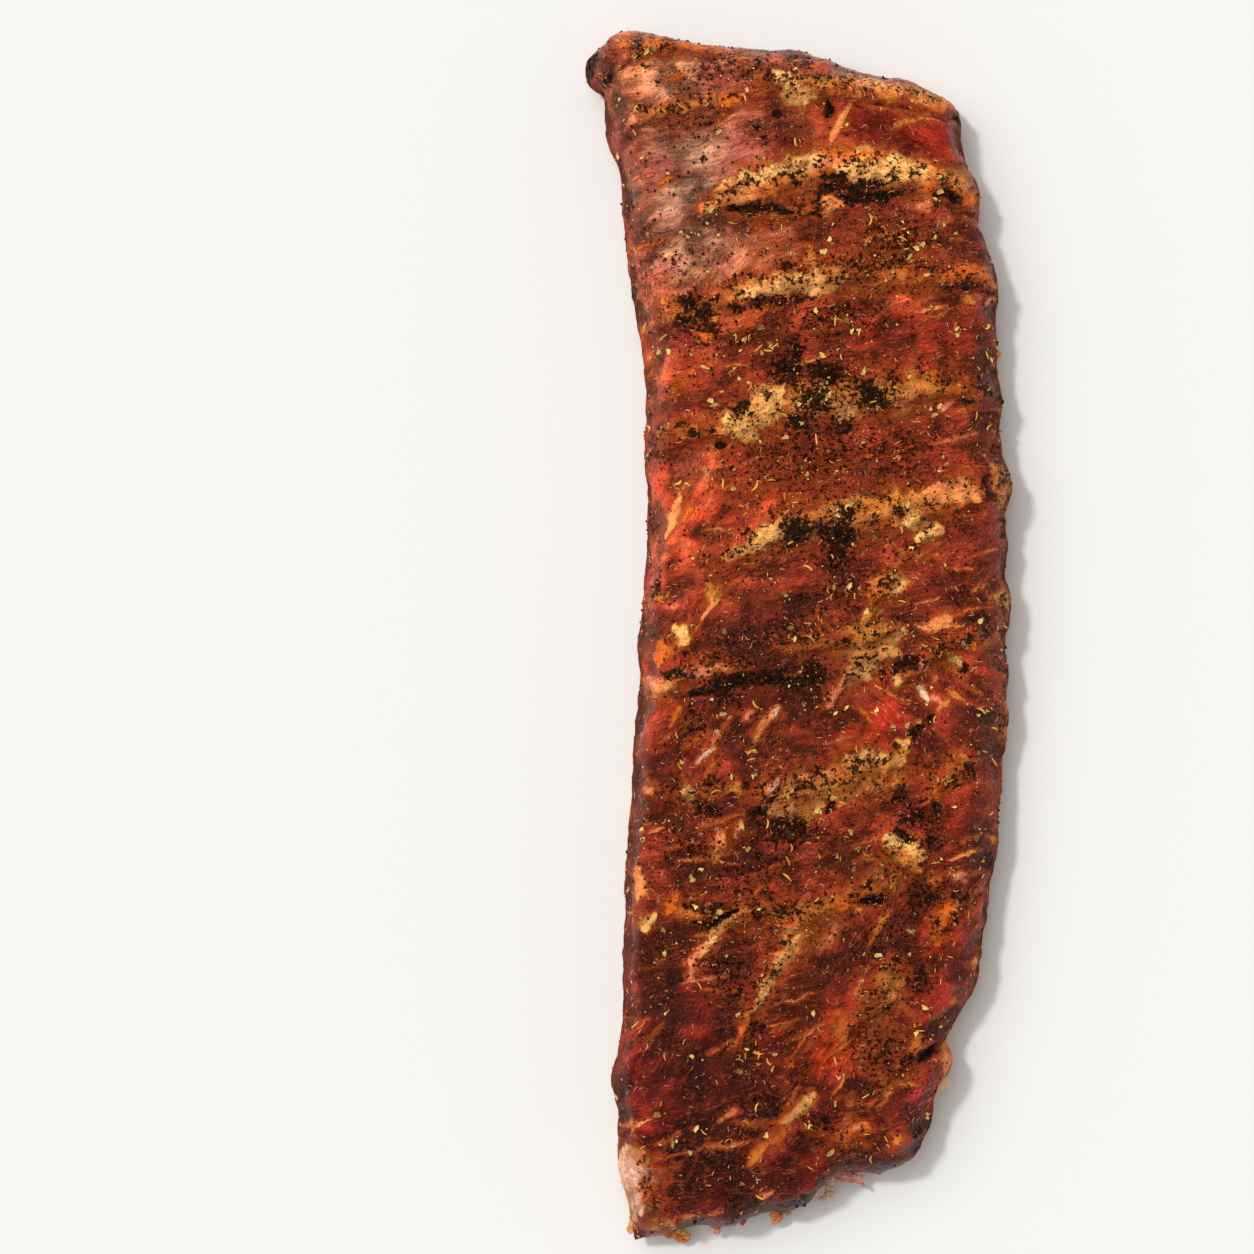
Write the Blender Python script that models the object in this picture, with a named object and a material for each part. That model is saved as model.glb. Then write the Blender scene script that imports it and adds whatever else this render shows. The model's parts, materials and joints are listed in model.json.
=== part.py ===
"""A raw rack of spare ribs, trimmed square and rubbed with spice, lying meat side up.

One slab of meat carries ten rib bones in grooves in its underside. The bones lie edge to edge
across the rack, a little aslant, and their sawn ends show along the right-hand side.
Metres, +Z up, +Y along the rack, the origin on the board under the middle of the rack.
"""

import math

import bmesh
import bpy
from mathutils import Vector, noise

# Driving dimensions: the outline of the meat, seen from above, side by side.
# The left side is the long side from the narrow tail up to the lump at the head's corner.
LEFT_SIDE = (
    (-0.0463, -0.1690), (-0.0487, -0.1560), (-0.0508, -0.1400), (-0.0523, -0.1240), (-0.0497, -0.1000),
    (-0.0490, -0.0720), (-0.0470, -0.0450), (-0.0447, -0.0140), (-0.0430, 0.0200), (-0.0433, 0.0500),
    (-0.0440, 0.0800), (-0.0483, 0.1100), (-0.0505, 0.1300), (-0.0545, 0.1440), (-0.0550, 0.1510),
    (-0.0585, 0.1545), (-0.0594, 0.1600), (-0.0570, 0.1645),
)
# The right side is where the bones were sawn through. Its swells over the bones come by formula.
RIGHT_SIDE = (
    (0.0320, -0.1465), (0.0366, -0.1370), (0.0394, -0.1270), (0.0412, -0.1190), (0.0418, -0.1125),
    (0.0458, -0.1045), (0.0496, -0.0940), (0.0524, -0.0740), (0.0550, -0.0520),
    (0.0574, -0.0260), (0.0578, 0.0000), (0.0580, 0.0260), (0.0570, 0.0500), (0.0556, 0.0680),
    (0.0548, 0.0900), (0.0517, 0.1080), (0.0492, 0.1240), (0.0458, 0.1380), (0.0450, 0.1470),
)
# The two cut ends, each from left to right.
TAIL_END = (
    LEFT_SIDE[0], (-0.0380, -0.1682), (-0.0200, -0.1655), (-0.0070, -0.1625), (0.0030, -0.1580),
    (0.0100, -0.1510), (0.0180, -0.1503), (0.0260, -0.1490), RIGHT_SIDE[0],
)
HEAD_END = (
    LEFT_SIDE[-1], (-0.0460, 0.1692), (-0.0300, 0.1667), (0.0000, 0.1643), (0.0130, 0.1597),
    (0.0300, 0.1560), (0.0400, 0.1510), RIGHT_SIDE[-1],
)

# Each rib's station along the rack at the left side and at the right side, how far its sawn end
# stands out of the meat on the right, and how far it stops short of the left side.
RIBS = (
    (0.1470, 0.1440, -0.0040, 0.0070),
    (0.1120, 0.1240, -0.0005, 0.0060),
    (0.0880, 0.0970, -0.0005, 0.0055),
    (0.0570, 0.0680, -0.0005, 0.0055),
    (0.0200, 0.0430, 0.0002, 0.0055),
    (-0.0130, 0.0090, 0.0000, 0.0055),
    (-0.0470, -0.0230, -0.0006, 0.0055),
    (-0.0790, -0.0560, -0.0006, 0.0055),
    (-0.1150, -0.0900, -0.0005, 0.0055),
    (-0.1530, -0.1185, -0.0008, 0.0022),
)
BONE_WIDTH = 0.0130
BONE_THICKNESS = 0.0090
BONE_BOW = 0.0020
BONE_SIDES = 12
BONE_STATIONS = 9
BONE_SQUARENESS = 0.8
END_FLARE = 0.10

# How far the rack reaches from its middle, along it and to the right.
HALF_LENGTH = 0.1700
RIGHT_REACH = 0.0580

# The meat's thickness, from the board, at the tail, the middle and the head.
TAIL_THICKNESS = 0.0212
MIDDLE_THICKNESS = 0.0256
HEAD_THICKNESS = 0.0244
RIGHT_SIDE_THINNING = 0.0040
UNDERSIDE_HEIGHT = 0.0010
WIDEST_HEIGHT = 0.0075
TOP_ROUNDING = {"left": 0.0100, "right": 0.0130, "end": 0.0110}
UNDERSIDE_ROUNDING = 0.0060

# Relief on top: a low ridge over each bone, and slow lumps over the whole.
RIDGE_HEIGHT = 0.0020
RIDGE_HALF_WIDTH = 0.0080
LUMP_HEIGHT = 0.0012
LUMP_SIZE = 0.0220
SCALLOP_DEPTH = 0.0010
SCALLOP_HALF_WIDTH = 0.0070

FIT_GAP = 0.0003
GROOVE_RUN_OUT = 0.0060

ROWS = 62
COLUMNS = 12
CURVE_STEPS = 24


def clear_scene():
    for thing in list(bpy.data.objects):
        bpy.data.objects.remove(thing, do_unlink=True)


def material(name, colour, roughness):
    made = bpy.data.materials.new(name)
    made.use_nodes = True
    shader = made.node_tree.nodes["Principled BSDF"]
    shader.inputs["Base Color"].default_value = (*colour, 1.0)
    shader.inputs["Roughness"].default_value = roughness
    shader.inputs["Metallic"].default_value = 0.0
    made.diffuse_color = (*colour, 1.0)
    return made


def smooth_curve(points):
    """A fine chain of points on the Catmull-Rom curve through the given ones."""
    knots = [Vector((x, y, 0.0)) for x, y in points]
    padded = [2 * knots[0] - knots[1], *knots, 2 * knots[-1] - knots[-2]]
    chain = [knots[0]]
    for before, start, end, after in zip(padded, padded[1:], padded[2:], padded[3:]):
        for step in range(1, CURVE_STEPS + 1):
            t = step / CURVE_STEPS
            spot = 2 * start + (end - before) * t
            spot = spot + (2 * before - 5 * start + 4 * end - after) * t**2
            spot = spot + (3 * start - before - 3 * end + after) * t**3
            chain.append(spot / 2)
    return chain


def along(chain, fractions):
    """Points at the given fractions of a chain's length."""
    reached = [0.0]
    for start, end in zip(chain, chain[1:]):
        reached.append(reached[-1] + (end - start).length)
    found = []
    link = 0
    for fraction in fractions:
        target = fraction * reached[-1]
        while link < len(chain) - 2 and reached[link + 1] < target:
            link += 1
        share = (target - reached[link]) / (reached[link + 1] - reached[link])
        found.append(chain[link].lerp(chain[link + 1], min(max(share, 0.0), 1.0)))
    return found


def bell(distance, half_width):
    return math.exp(-((distance / half_width) ** 2))


def scalloped(side):
    """The right side with a slight swell at each bone's end."""
    made = []
    for spot in side:
        swell = max(bell(spot.y - right, SCALLOP_HALF_WIDTH) for _, right, _, _ in RIBS)
        made.append(spot + Vector((SCALLOP_DEPTH * swell, 0.0, 0.0)))
    return made


def row_fractions():
    """Even rows along the rack, with two more close to each end, where the surface turns down."""
    even = [row / ROWS for row in range(ROWS + 1)]
    near = [0.12 / ROWS, 0.45 / ROWS]
    far = [1.0 - fraction for fraction in reversed(near)]
    return [even[0], *near, *even[1:-1], *far, even[-1]]


def column_fractions():
    """Columns across the rack, closer together at the two sides."""
    return [0.5 - 0.5 * math.cos(math.pi * column / COLUMNS) for column in range(COLUMNS + 1)]


LEFT_CHAIN = smooth_curve(LEFT_SIDE)
RIGHT_CHAIN = scalloped(smooth_curve(RIGHT_SIDE))
TAIL_CHAIN = [LEFT_CHAIN[0], *smooth_curve(TAIL_END)[1:-1], RIGHT_CHAIN[0]]
HEAD_CHAIN = [LEFT_CHAIN[-1], *smooth_curve(HEAD_END)[1:-1], RIGHT_CHAIN[-1]]


def side_at(chain, station):
    """The x of a long side where it crosses the given station."""
    return min(chain, key=lambda spot: abs(spot.y - station)).x


def rib_line(rib):
    """The middle of a rib, from its left end to its sawn right end, bowed a little to the head."""
    left, right, stands_out, stops_short = rib
    start = Vector((side_at(LEFT_CHAIN, left) + stops_short, left, 0.0))
    end = Vector((side_at(RIGHT_CHAIN, right) + stands_out, right, 0.0))
    line = []
    for step in range(BONE_STATIONS + 1):
        t = step / BONE_STATIONS
        bow = Vector((0.0, BONE_BOW * math.sin(math.pi * t), 0.0))
        line.append(start.lerp(end, t) + bow)
    return line


RIB_LINES = [rib_line(rib) for rib in RIBS]


def distance_to_line(x, y, line):
    nearest = math.inf
    spot = Vector((x, y, 0.0))
    for start, end in zip(line, line[1:]):
        run = end - start
        share = min(max((spot - start).dot(run) / run.length_squared, 0.0), 1.0)
        nearest = min(nearest, (spot - start - run * share).length)
    return nearest


def meat_height(x, y):
    """Height of the meat's top over the board, before its rims are rounded off."""
    place = y / HALF_LENGTH
    end_thickness = HEAD_THICKNESS if place > 0.0 else TAIL_THICKNESS
    height = MIDDLE_THICKNESS + (end_thickness - MIDDLE_THICKNESS) * place**2
    right_share = max(x, 0.0) / RIGHT_REACH
    height -= RIGHT_SIDE_THINNING * right_share**2
    ridge = max(bell(distance_to_line(x, y, line), RIDGE_HALF_WIDTH) for line in RIB_LINES)
    lump = noise.noise(Vector((x, y, 0.0)) / LUMP_SIZE)
    return height + RIDGE_HEIGHT * ridge + LUMP_HEIGHT * lump


def rounded_rim(distance, radius):
    """0 at the outline and 1 from the radius inwards, along a quarter ellipse."""
    inside = min(distance / radius, 1.0)
    return math.sqrt(max(1.0 - (1.0 - inside) ** 2, 0.0))


def meat_grid():
    """Rows of (top point, underside point) over the outline, blended from its four sides."""
    rows = row_fractions()
    columns = column_fractions()
    left = along(LEFT_CHAIN, rows)
    right = along(RIGHT_CHAIN, rows)
    tail = along(TAIL_CHAIN, columns)
    head = along(HEAD_CHAIN, columns)
    grid = []
    for v, left_spot, right_spot in zip(rows, left, right):
        row = []
        for u, tail_spot, head_spot in zip(columns, tail, head):
            corners = tail[0].lerp(tail[-1], u).lerp(head[0].lerp(head[-1], u), v)
            spot = left_spot.lerp(right_spot, u) + tail_spot.lerp(head_spot, v) - corners
            to_left = (spot - left_spot).length
            to_right = (spot - right_spot).length
            to_end = min((spot - tail_spot).length, (spot - head_spot).length)
            top_share = rounded_rim(to_left, TOP_ROUNDING["left"])
            top_share *= rounded_rim(to_right, TOP_ROUNDING["right"])
            top_share *= rounded_rim(to_end, TOP_ROUNDING["end"])
            low_share = rounded_rim(min(to_left, to_right), UNDERSIDE_ROUNDING)
            low_share *= rounded_rim(to_end, UNDERSIDE_ROUNDING)
            top = WIDEST_HEIGHT + (meat_height(spot.x, spot.y) - WIDEST_HEIGHT) * top_share
            low = WIDEST_HEIGHT + (UNDERSIDE_HEIGHT - WIDEST_HEIGHT) * low_share
            row.append((Vector((spot.x, spot.y, top)), Vector((spot.x, spot.y, low))))
        grid.append(row)
    return grid


def finished_object(name, mesh, finish):
    mesh.shade_smooth()
    mesh.set_sharp_from_angle(angle=math.radians(50.0))
    made = bpy.data.objects.new(name, mesh)
    made.data.materials.append(finish)
    bpy.context.collection.objects.link(made)
    return made


def mesh_from(name, build):
    """A mesh of what the given function adds to an empty bmesh, with its faces turned outwards."""
    shape = bmesh.new()
    build(shape)
    bmesh.ops.recalc_face_normals(shape, faces=shape.faces)
    mesh = bpy.data.meshes.new(name)
    shape.to_mesh(mesh)
    shape.free()
    return mesh


def add_split_quad(shape, net, i, j, rising):
    """Two triangles for one square of a net. Their shared edge runs inwards from the outline's
    corners, where the top and the underside would otherwise fold onto each other."""
    near, far = net[j], net[j + 1]
    if rising:
        shape.faces.new((near[i], near[i + 1], far[i + 1]))
        shape.faces.new((near[i], far[i + 1], far[i]))
    else:
        shape.faces.new((near[i], near[i + 1], far[i]))
        shape.faces.new((near[i + 1], far[i + 1], far[i]))


def add_meat(shape):
    """The top and the underside as two nets of faces that share the points of the outline."""
    grid = meat_grid()
    last_row = len(grid) - 1
    tops = []
    lows = []
    for j, row in enumerate(grid):
        top_row = [shape.verts.new(top) for top, _ in row]
        low_row = []
        for i, (_, low) in enumerate(row):
            on_outline = j in (0, last_row) or i in (0, COLUMNS)
            low_row.append(top_row[i] if on_outline else shape.verts.new(low))
        tops.append(top_row)
        lows.append(low_row)
    for net in (tops, lows):
        for j in range(last_row):
            for i in range(COLUMNS):
                add_split_quad(shape, net, i, j, (i < COLUMNS / 2) == (j < last_row / 2))


def bone_section(width, thickness):
    """A flattened oval with a flat underside, as (across, up) pairs."""
    pairs = []
    for side in range(BONE_SIDES):
        angle = 2 * math.pi * (side + 0.5) / BONE_SIDES
        across = math.copysign(abs(math.cos(angle)) ** BONE_SQUARENESS, math.cos(angle))
        up = math.copysign(abs(math.sin(angle)) ** BONE_SQUARENESS, math.sin(angle))
        pairs.append((across, up))
    highest = max(up for _, up in pairs)
    return [(width / 2 * across, thickness / 2 * (up / highest + 1.0)) for across, up in pairs]


def add_bone(shape, line, grow, run_out):
    """The section swept along a rib's line, flared a little at both ends.

    grow makes it that much larger all round, and run_out lengthens it past its right end."""
    path = list(line)
    if run_out:
        path[-1] = path[-1] + (path[-1] - path[-2]).normalized() * run_out
    if grow:
        path[0] = path[0] - (path[1] - path[0]).normalized() * grow
    rings = []
    for step, centre in enumerate(path):
        ahead = path[min(step + 1, len(path) - 1)] - path[max(step - 1, 0)]
        across = Vector((ahead.y, -ahead.x, 0.0)).normalized()
        t = step / (len(path) - 1)
        flare = 1.0 + END_FLARE * abs(2 * t - 1) ** 3
        section = bone_section(BONE_WIDTH * flare + 2 * grow, BONE_THICKNESS + 2 * grow)
        ring = []
        for sideways, up in section:
            spot = centre + across * sideways + Vector((0.0, 0.0, up - grow))
            ring.append(shape.verts.new(spot))
        rings.append(ring)
    for near, far in zip(rings, rings[1:]):
        for side in range(BONE_SIDES):
            after = (side + 1) % BONE_SIDES
            shape.faces.new((near[side], near[after], far[after], far[side]))
    shape.faces.new(rings[0])
    shape.faces.new(rings[-1])


def make_bone(number, line, finish):
    mesh = mesh_from(f"rib_bone_{number:02d}", lambda shape: add_bone(shape, line, 0.0, 0.0))
    return finished_object(f"rib_bone_{number:02d}", mesh, finish)


def cut_groove(meat, number, line, finish):
    """A Boolean that cuts the groove for one bone, with the fit gap all round."""
    name = f"groove_cutter_{number:02d}"
    mesh = mesh_from(name, lambda shape: add_bone(shape, line, FIT_GAP, GROOVE_RUN_OUT))
    cutter = finished_object(name, mesh, finish)
    cutter.hide_render = True
    cutter.display_type = "WIRE"
    cut = meat.modifiers.new(name, "BOOLEAN")
    cut.operation = "DIFFERENCE"
    cut.solver = "EXACT"
    cut.object = cutter


def main():
    clear_scene()
    meat_finish = material("rubbed_meat", (0.22, 0.035, 0.018), 0.45)
    bone_finish = material("rib_bone", (0.72, 0.55, 0.38), 0.50)
    meat = finished_object("meat", mesh_from("meat", add_meat), meat_finish)
    for number, line in enumerate(RIB_LINES, start=1):
        make_bone(number, line, bone_finish)
        cut_groove(meat, number, line, meat_finish)


main()
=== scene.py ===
# %% [markdown]
# # A rubbed rack of ribs
# The imported model is the frame that every piece here is measured from.

# %% Load the frame
import json
import math

import bmesh
import bpy
import numpy as np
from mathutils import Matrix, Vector

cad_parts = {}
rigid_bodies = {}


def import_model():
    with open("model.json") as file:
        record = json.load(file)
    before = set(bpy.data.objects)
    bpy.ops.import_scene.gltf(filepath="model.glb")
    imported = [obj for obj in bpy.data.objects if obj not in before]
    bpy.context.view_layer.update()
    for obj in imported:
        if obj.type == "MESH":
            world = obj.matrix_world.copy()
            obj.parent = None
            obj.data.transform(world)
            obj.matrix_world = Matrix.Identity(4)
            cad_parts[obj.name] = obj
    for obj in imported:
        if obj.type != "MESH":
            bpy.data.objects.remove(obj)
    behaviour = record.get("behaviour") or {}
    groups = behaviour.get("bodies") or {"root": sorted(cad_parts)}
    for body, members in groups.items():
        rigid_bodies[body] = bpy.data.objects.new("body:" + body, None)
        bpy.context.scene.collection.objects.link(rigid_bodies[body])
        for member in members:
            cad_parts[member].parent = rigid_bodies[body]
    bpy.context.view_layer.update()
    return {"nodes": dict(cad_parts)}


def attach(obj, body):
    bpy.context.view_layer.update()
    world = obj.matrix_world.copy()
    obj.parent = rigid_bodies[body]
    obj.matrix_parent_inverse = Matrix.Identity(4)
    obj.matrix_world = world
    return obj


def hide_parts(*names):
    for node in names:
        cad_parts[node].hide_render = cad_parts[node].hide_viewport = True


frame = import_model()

MM = 0.001
scene = bpy.context.scene

# %% [markdown]
# ## Colours
# Colours are written as a painter would name them, on the 0 to 255 scale of a screen. Shaders
# work in linear light, so each one is converted once, here.

# %% Named colours
def linear(red, green, blue):
    """A screen colour in linear light."""
    shares = [value / 255.0 for value in (red, green, blue)]
    return tuple(s / 12.92 if s < 0.04045 else ((s + 0.055) / 1.055) ** 2.4 for s in shares)


MEAT_TONES = {
    "brown red": linear(152, 62, 40),
    "deep red": linear(160, 48, 30),
    "red": linear(184, 54, 32),
    "bright red": linear(210, 68, 38),
    "orange red": linear(226, 96, 40),
    "rust": linear(196, 84, 24),
    "salmon": linear(236, 134, 92),
    "pink": linear(226, 116, 92),
    "mauve": linear(192, 126, 94),
    "purple": linear(122, 56, 52),
    "maroon": linear(112, 38, 27),
    "dark maroon": linear(84, 28, 21),
    "umber": linear(140, 78, 38),
}
FAT_TONES = {
    "tan": linear(220, 142, 66),
    "brown tan": linear(172, 92, 42),
    "cream": linear(255, 196, 120),
    "peach": linear(250, 160, 96),
    "orange": linear(230, 116, 38),
    "pink": linear(240, 142, 108),
    "white": linear(255, 218, 184),
}
print(len(MEAT_TONES), "tones of meat and", len(FAT_TONES), "tones of fat")

# %% [markdown]
# ## Camera, light and floor
# The rack lies on a white table and is seen from straight above. A long lens keeps its sides from
# leaning. One wide soft light stands up and to the left, so every fold has a bright and a dark
# side, and a weak even light from all round fills the shadows.

# %% Camera
VIEW_CENTRE = (-0.0483, 0.0027)
VIEW_WIDTH = 0.3511
VIEW_LEVEL = 0.012
camera_data = bpy.data.cameras.new("camera")
camera_data.lens = 150.0
camera_data.sensor_width = 36.0
camera_data.dof.use_dof = False
camera = bpy.data.objects.new("camera", camera_data)
scene.collection.objects.link(camera)
camera.location = (*VIEW_CENTRE, VIEW_LEVEL + VIEW_WIDTH * camera_data.lens / camera_data.sensor_width)
scene.camera = camera
scene.view_settings.view_transform = "Standard"
print(f"camera {camera.location.z:.3f} m above the table")


# %% Lights
def add_sun(name, heading, strength, width_degrees):
    """A light at infinity, so that the whole table is lit alike."""
    data = bpy.data.lights.new(name, "SUN")
    data.energy = strength
    data.angle = math.radians(width_degrees)
    sun = bpy.data.objects.new(name, data)
    sun.rotation_euler = Vector(heading).to_track_quat("-Z", "Y").to_euler()
    scene.collection.objects.link(sun)


add_sun("key light", (0.46, -0.35, -1.0), 1.42, 58.0)
add_sun("glint light", (0.46, -0.34, -1.0), 1.45, 6.0)
world = bpy.data.worlds.new("studio")
world.use_nodes = True
sky = world.node_tree.nodes["Background"].inputs
sky["Color"].default_value = (1.0, 0.99, 0.97, 1.0)
sky["Strength"].default_value = 0.45
scene.world = world
print("two suns and a studio fill")

# %% Floor
FLOOR_HALF = 2.0
floor_mesh = bpy.data.meshes.new("table")
corners = [(-1, -1), (1, -1), (1, 1), (-1, 1)]
floor_mesh.from_pydata([(FLOOR_HALF * x, FLOOR_HALF * y, 0.0) for x, y in corners], [], [(0, 1, 2, 3)])
floor = bpy.data.objects.new("table", floor_mesh)
scene.collection.objects.link(floor)
floor_finish = bpy.data.materials.new("white table")
floor_finish.use_nodes = True
floor_shader = floor_finish.node_tree.nodes["Principled BSDF"]
floor_shader.inputs["Base Color"].default_value = (0.76, 0.755, 0.735, 1.0)
floor_shader.inputs["Roughness"].default_value = 0.9
floor_shader.inputs["Specular IOR Level"].default_value = 0.1
floor_mesh.materials.append(floor_finish)
print("white table", 2 * FLOOR_HALF, "m across")

# %% [markdown]
# ## Where the ribs run
# The bones are already in the frame, so their ends are read off the CAD meshes: the middle of the
# points at the left end and the middle of those at the sawn right end. Bones, ridges and the
# grain of the meat all follow these ten lines.


# %% Rib lines
def rib_line(node):
    """The middle line of a CAD bone, in millimetres, bowed a little towards the head."""
    mesh = node.data
    points = np.empty(len(mesh.vertices) * 3, np.float32)
    mesh.vertices.foreach_get("co", points)
    points = points.reshape(-1, 3) / MM
    left = points[points[:, 0] < points[:, 0].min() + 3.5]
    right = points[points[:, 0] > points[:, 0].max() - 3.5]
    start = np.array((left[:, 0].min() + 0.8, (left[:, 1].min() + left[:, 1].max()) / 2))
    end = np.array((right[:, 0].max() - 0.8, (right[:, 1].min() + right[:, 1].max()) / 2))
    steps = np.linspace(0.0, 1.0, 13)[:, None]
    return start + (end - start) * steps + np.array((0.0, 2.0)) * np.sin(np.pi * steps)


BONE_NAMES = sorted(name for name in frame["nodes"] if name.startswith("rib_bone"))
RIB_LINES = [rib_line(frame["nodes"][name]) for name in BONE_NAMES]
print(len(RIB_LINES), "ribs; the first ends at", RIB_LINES[0][-1].round(1), "mm")

# %% [markdown]
# ## Random hills
# Meat is never smooth. This is the classic gradient noise: a lattice of random slopes with a
# smooth blend between them. `layered` adds finer and finer hills on top of each other. Every
# call has its own seed, so the rack comes out the same each time.


# %% Noise helpers
def hills(x, y, size, seed):
    """Smooth random hills about `size` across, mostly between -1 and 1."""
    turns = np.random.default_rng(seed).uniform(0.0, 2.0 * np.pi, (256, 256))
    px = x / size + 300.5
    py = y / size + 300.5
    i = np.floor(px).astype(int)
    j = np.floor(py).astype(int)
    fx = px - i
    fy = py - j
    blend_x = fx**3 * (fx * (fx * 6 - 15) + 10)
    blend_y = fy**3 * (fy * (fy * 6 - 15) + 10)
    total = np.zeros_like(px)
    for di, weight_x in ((0, 1 - blend_x), (1, blend_x)):
        for dj, weight_y in ((0, 1 - blend_y), (1, blend_y)):
            turn = turns[(i + di) % 256, (j + dj) % 256]
            total += weight_x * weight_y * (np.cos(turn) * (fx - di) + np.sin(turn) * (fy - dj))
    return 1.7 * total


def layered(x, y, size, seed, layers=3):
    """Hills with finer hills on them."""
    total = np.zeros_like(x)
    for layer in range(layers):
        total += 0.5**layer * hills(x, y, size / 2.1**layer, seed + layer)
    return total


test_x, test_y = np.meshgrid(np.linspace(0, 50, 90), np.linspace(0, 50, 90))
print("hills run from", hills(test_x, test_y, 7.0, 1).min().round(2), "up")

# %% [markdown]
# ## The outline
# The rack is trimmed nearly square, with a lump at the head's left corner, swells where the sawn
# bones push the right side out, and a ragged tail. The four sides are listed in millimetres and
# joined by smooth curves, with a fine tremble where the knife went through soft meat.

# %% The four sides, in millimetres
LEFT_SIDE = (
    (-46, -169.3), (-47, -164), (-48, -158), (-49.5, -153), (-50.5, -148), (-51, -140), (-51, -133),
    (-52.5, -124), (-51, -118), (-50, -110), (-49.5, -100), (-49.5, -90), (-49, -80), (-49, -70),
    (-48.3, -60), (-47.5, -50), (-46.7, -40), (-46.5, -30), (-45.5, -20), (-44.5, -12), (-45.5, -2),
    (-44, 8), (-43, 20), (-42.5, 30), (-42.5, 40), (-43.5, 50), (-43, 60), (-43, 70), (-44, 80),
    (-46, 90), (-47.5, 100), (-48.5, 110), (-49.5, 120), (-50.5, 130), (-54, 140), (-54.8, 149),
    (-55.2, 152), (-57.5, 153.2), (-59.5, 156), (-59.6, 161), (-57, 164.5),
)
RIGHT_SIDE = (
    (32, -146.3), (34, -144), (35.5, -140), (37.3, -136), (37.5, -133), (38, -129), (40, -125),
    (41.8, -122.5), (42.8, -119), (42, -116), (41, -113), (43, -109), (46, -104), (48.5, -100),
    (50.3, -95), (51, -91), (51.5, -86), (52.5, -80), (53, -75), (53.2, -71), (54.5, -66),
    (55.3, -61), (55.9, -56), (55.8, -51), (56.3, -46), (56.8, -41), (56.8, -35), (57.8, -31),
    (58, -27), (58.8, -22), (57.8, -18), (58.5, -13), (58.8, -9), (58, -4), (57.8, 0), (59.4, 5),
    (59.4, 10), (59, 14), (57.8, 17), (58.6, 22), (58.8, 26), (57.8, 34), (59.3, 38), (59.7, 42),
    (58.8, 46), (57.2, 50), (56.8, 53), (55.8, 58), (56.5, 62), (57, 66), (56.3, 71), (55.7, 76),
    (55.2, 84), (55, 89), (55.8, 94), (55.8, 99), (54, 105), (52, 110), (50, 113.5), (50, 117),
    (50.5, 121), (50, 127), (47.5, 131), (45.7, 138), (45.5, 143), (45, 147),
)
TAIL_END = (
    (-46, -169.3), (-42, -168.5), (-38, -168), (-30, -165.5), (-20, -165.5), (-15, -163.5),
    (-10, -161.5), (-4, -161.5), (0, -160), (3, -158.5), (9.5, -151), (16, -150), (22, -150.3),
    (26, -149), (32, -146.3),
)
HEAD_END = (
    (-57, 164.5), (-52, 167), (-50, 169), (-46, 169.7), (-42, 169.3), (-38, 168.3), (-30, 166.7),
    (-20, 165.3), (-10, 164.8), (0, 164.4), (4, 162.8), (9, 161.5), (12, 160), (20, 157.6),
    (30, 156.2), (35, 153.5), (40, 151), (43, 149.5), (45, 147),
)
print(len(LEFT_SIDE), "points on the left side and", len(RIGHT_SIDE), "on the right")


# %% Smooth sides
def smooth_side(points, fractions):
    """Points at the given fractions of the length of the Catmull-Rom curve through the points."""
    knots = np.array(points, float)
    padded = np.vstack([2 * knots[0] - knots[1], knots, 2 * knots[-1] - knots[-2]])
    t = np.linspace(0.0, 1.0, 40, endpoint=False)[:, None]
    pieces = []
    for a, b, c, d in zip(padded, padded[1:], padded[2:], padded[3:]):
        pieces.append((2 * b + (c - a) * t + (2 * a - 5 * b + 4 * c - d) * t**2
            + (3 * b - a - 3 * c + d) * t**3) / 2)
    chain = np.vstack([*pieces, knots[-1:]])
    reached = np.concatenate([[0.0], np.cumsum(np.hypot(*np.diff(chain, axis=0).T))])
    return np.stack([np.interp(fractions * reached[-1], reached, chain[:, k]) for k in (0, 1)], axis=1)


def bunched(count, rim_count, low_rim, high_rim):
    """Fractions from 0 to 1 that bunch up within the two rims, where the surface turns down."""
    swing = np.linspace(0.0, np.pi / 2, rim_count + 1)
    low = low_rim * (1 - np.cos(swing))
    high = 1 - high_rim * (1 - np.cos(swing))[::-1]
    middle = np.linspace(low_rim, 1 - high_rim, count - 2 * rim_count + 1)
    return np.concatenate([low, middle[1:-1], high])


COARSE = 3
ROWS = 522
COLUMNS = 165
row_shares = bunched(ROWS, 21, 0.032, 0.032)
column_shares = bunched(COLUMNS, 27, 0.095, 0.120)
print(len(row_shares) - 1, "rows and", len(column_shares) - 1, "columns of faces on top")


# %% The net of points over the outline
def trembled(side, seed, amount=0.30):
    """A side with a fine tremble that fades out at its two corners."""
    x, y = side.T
    fade = np.sin(np.pi * np.linspace(0.0, 1.0, len(side))) ** 0.2
    x = x + amount * fade * layered(x, y, 4.0, seed)
    y = y + amount * fade * layered(x, y, 4.0, seed + 40)
    return np.stack([x, y], axis=1)


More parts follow.
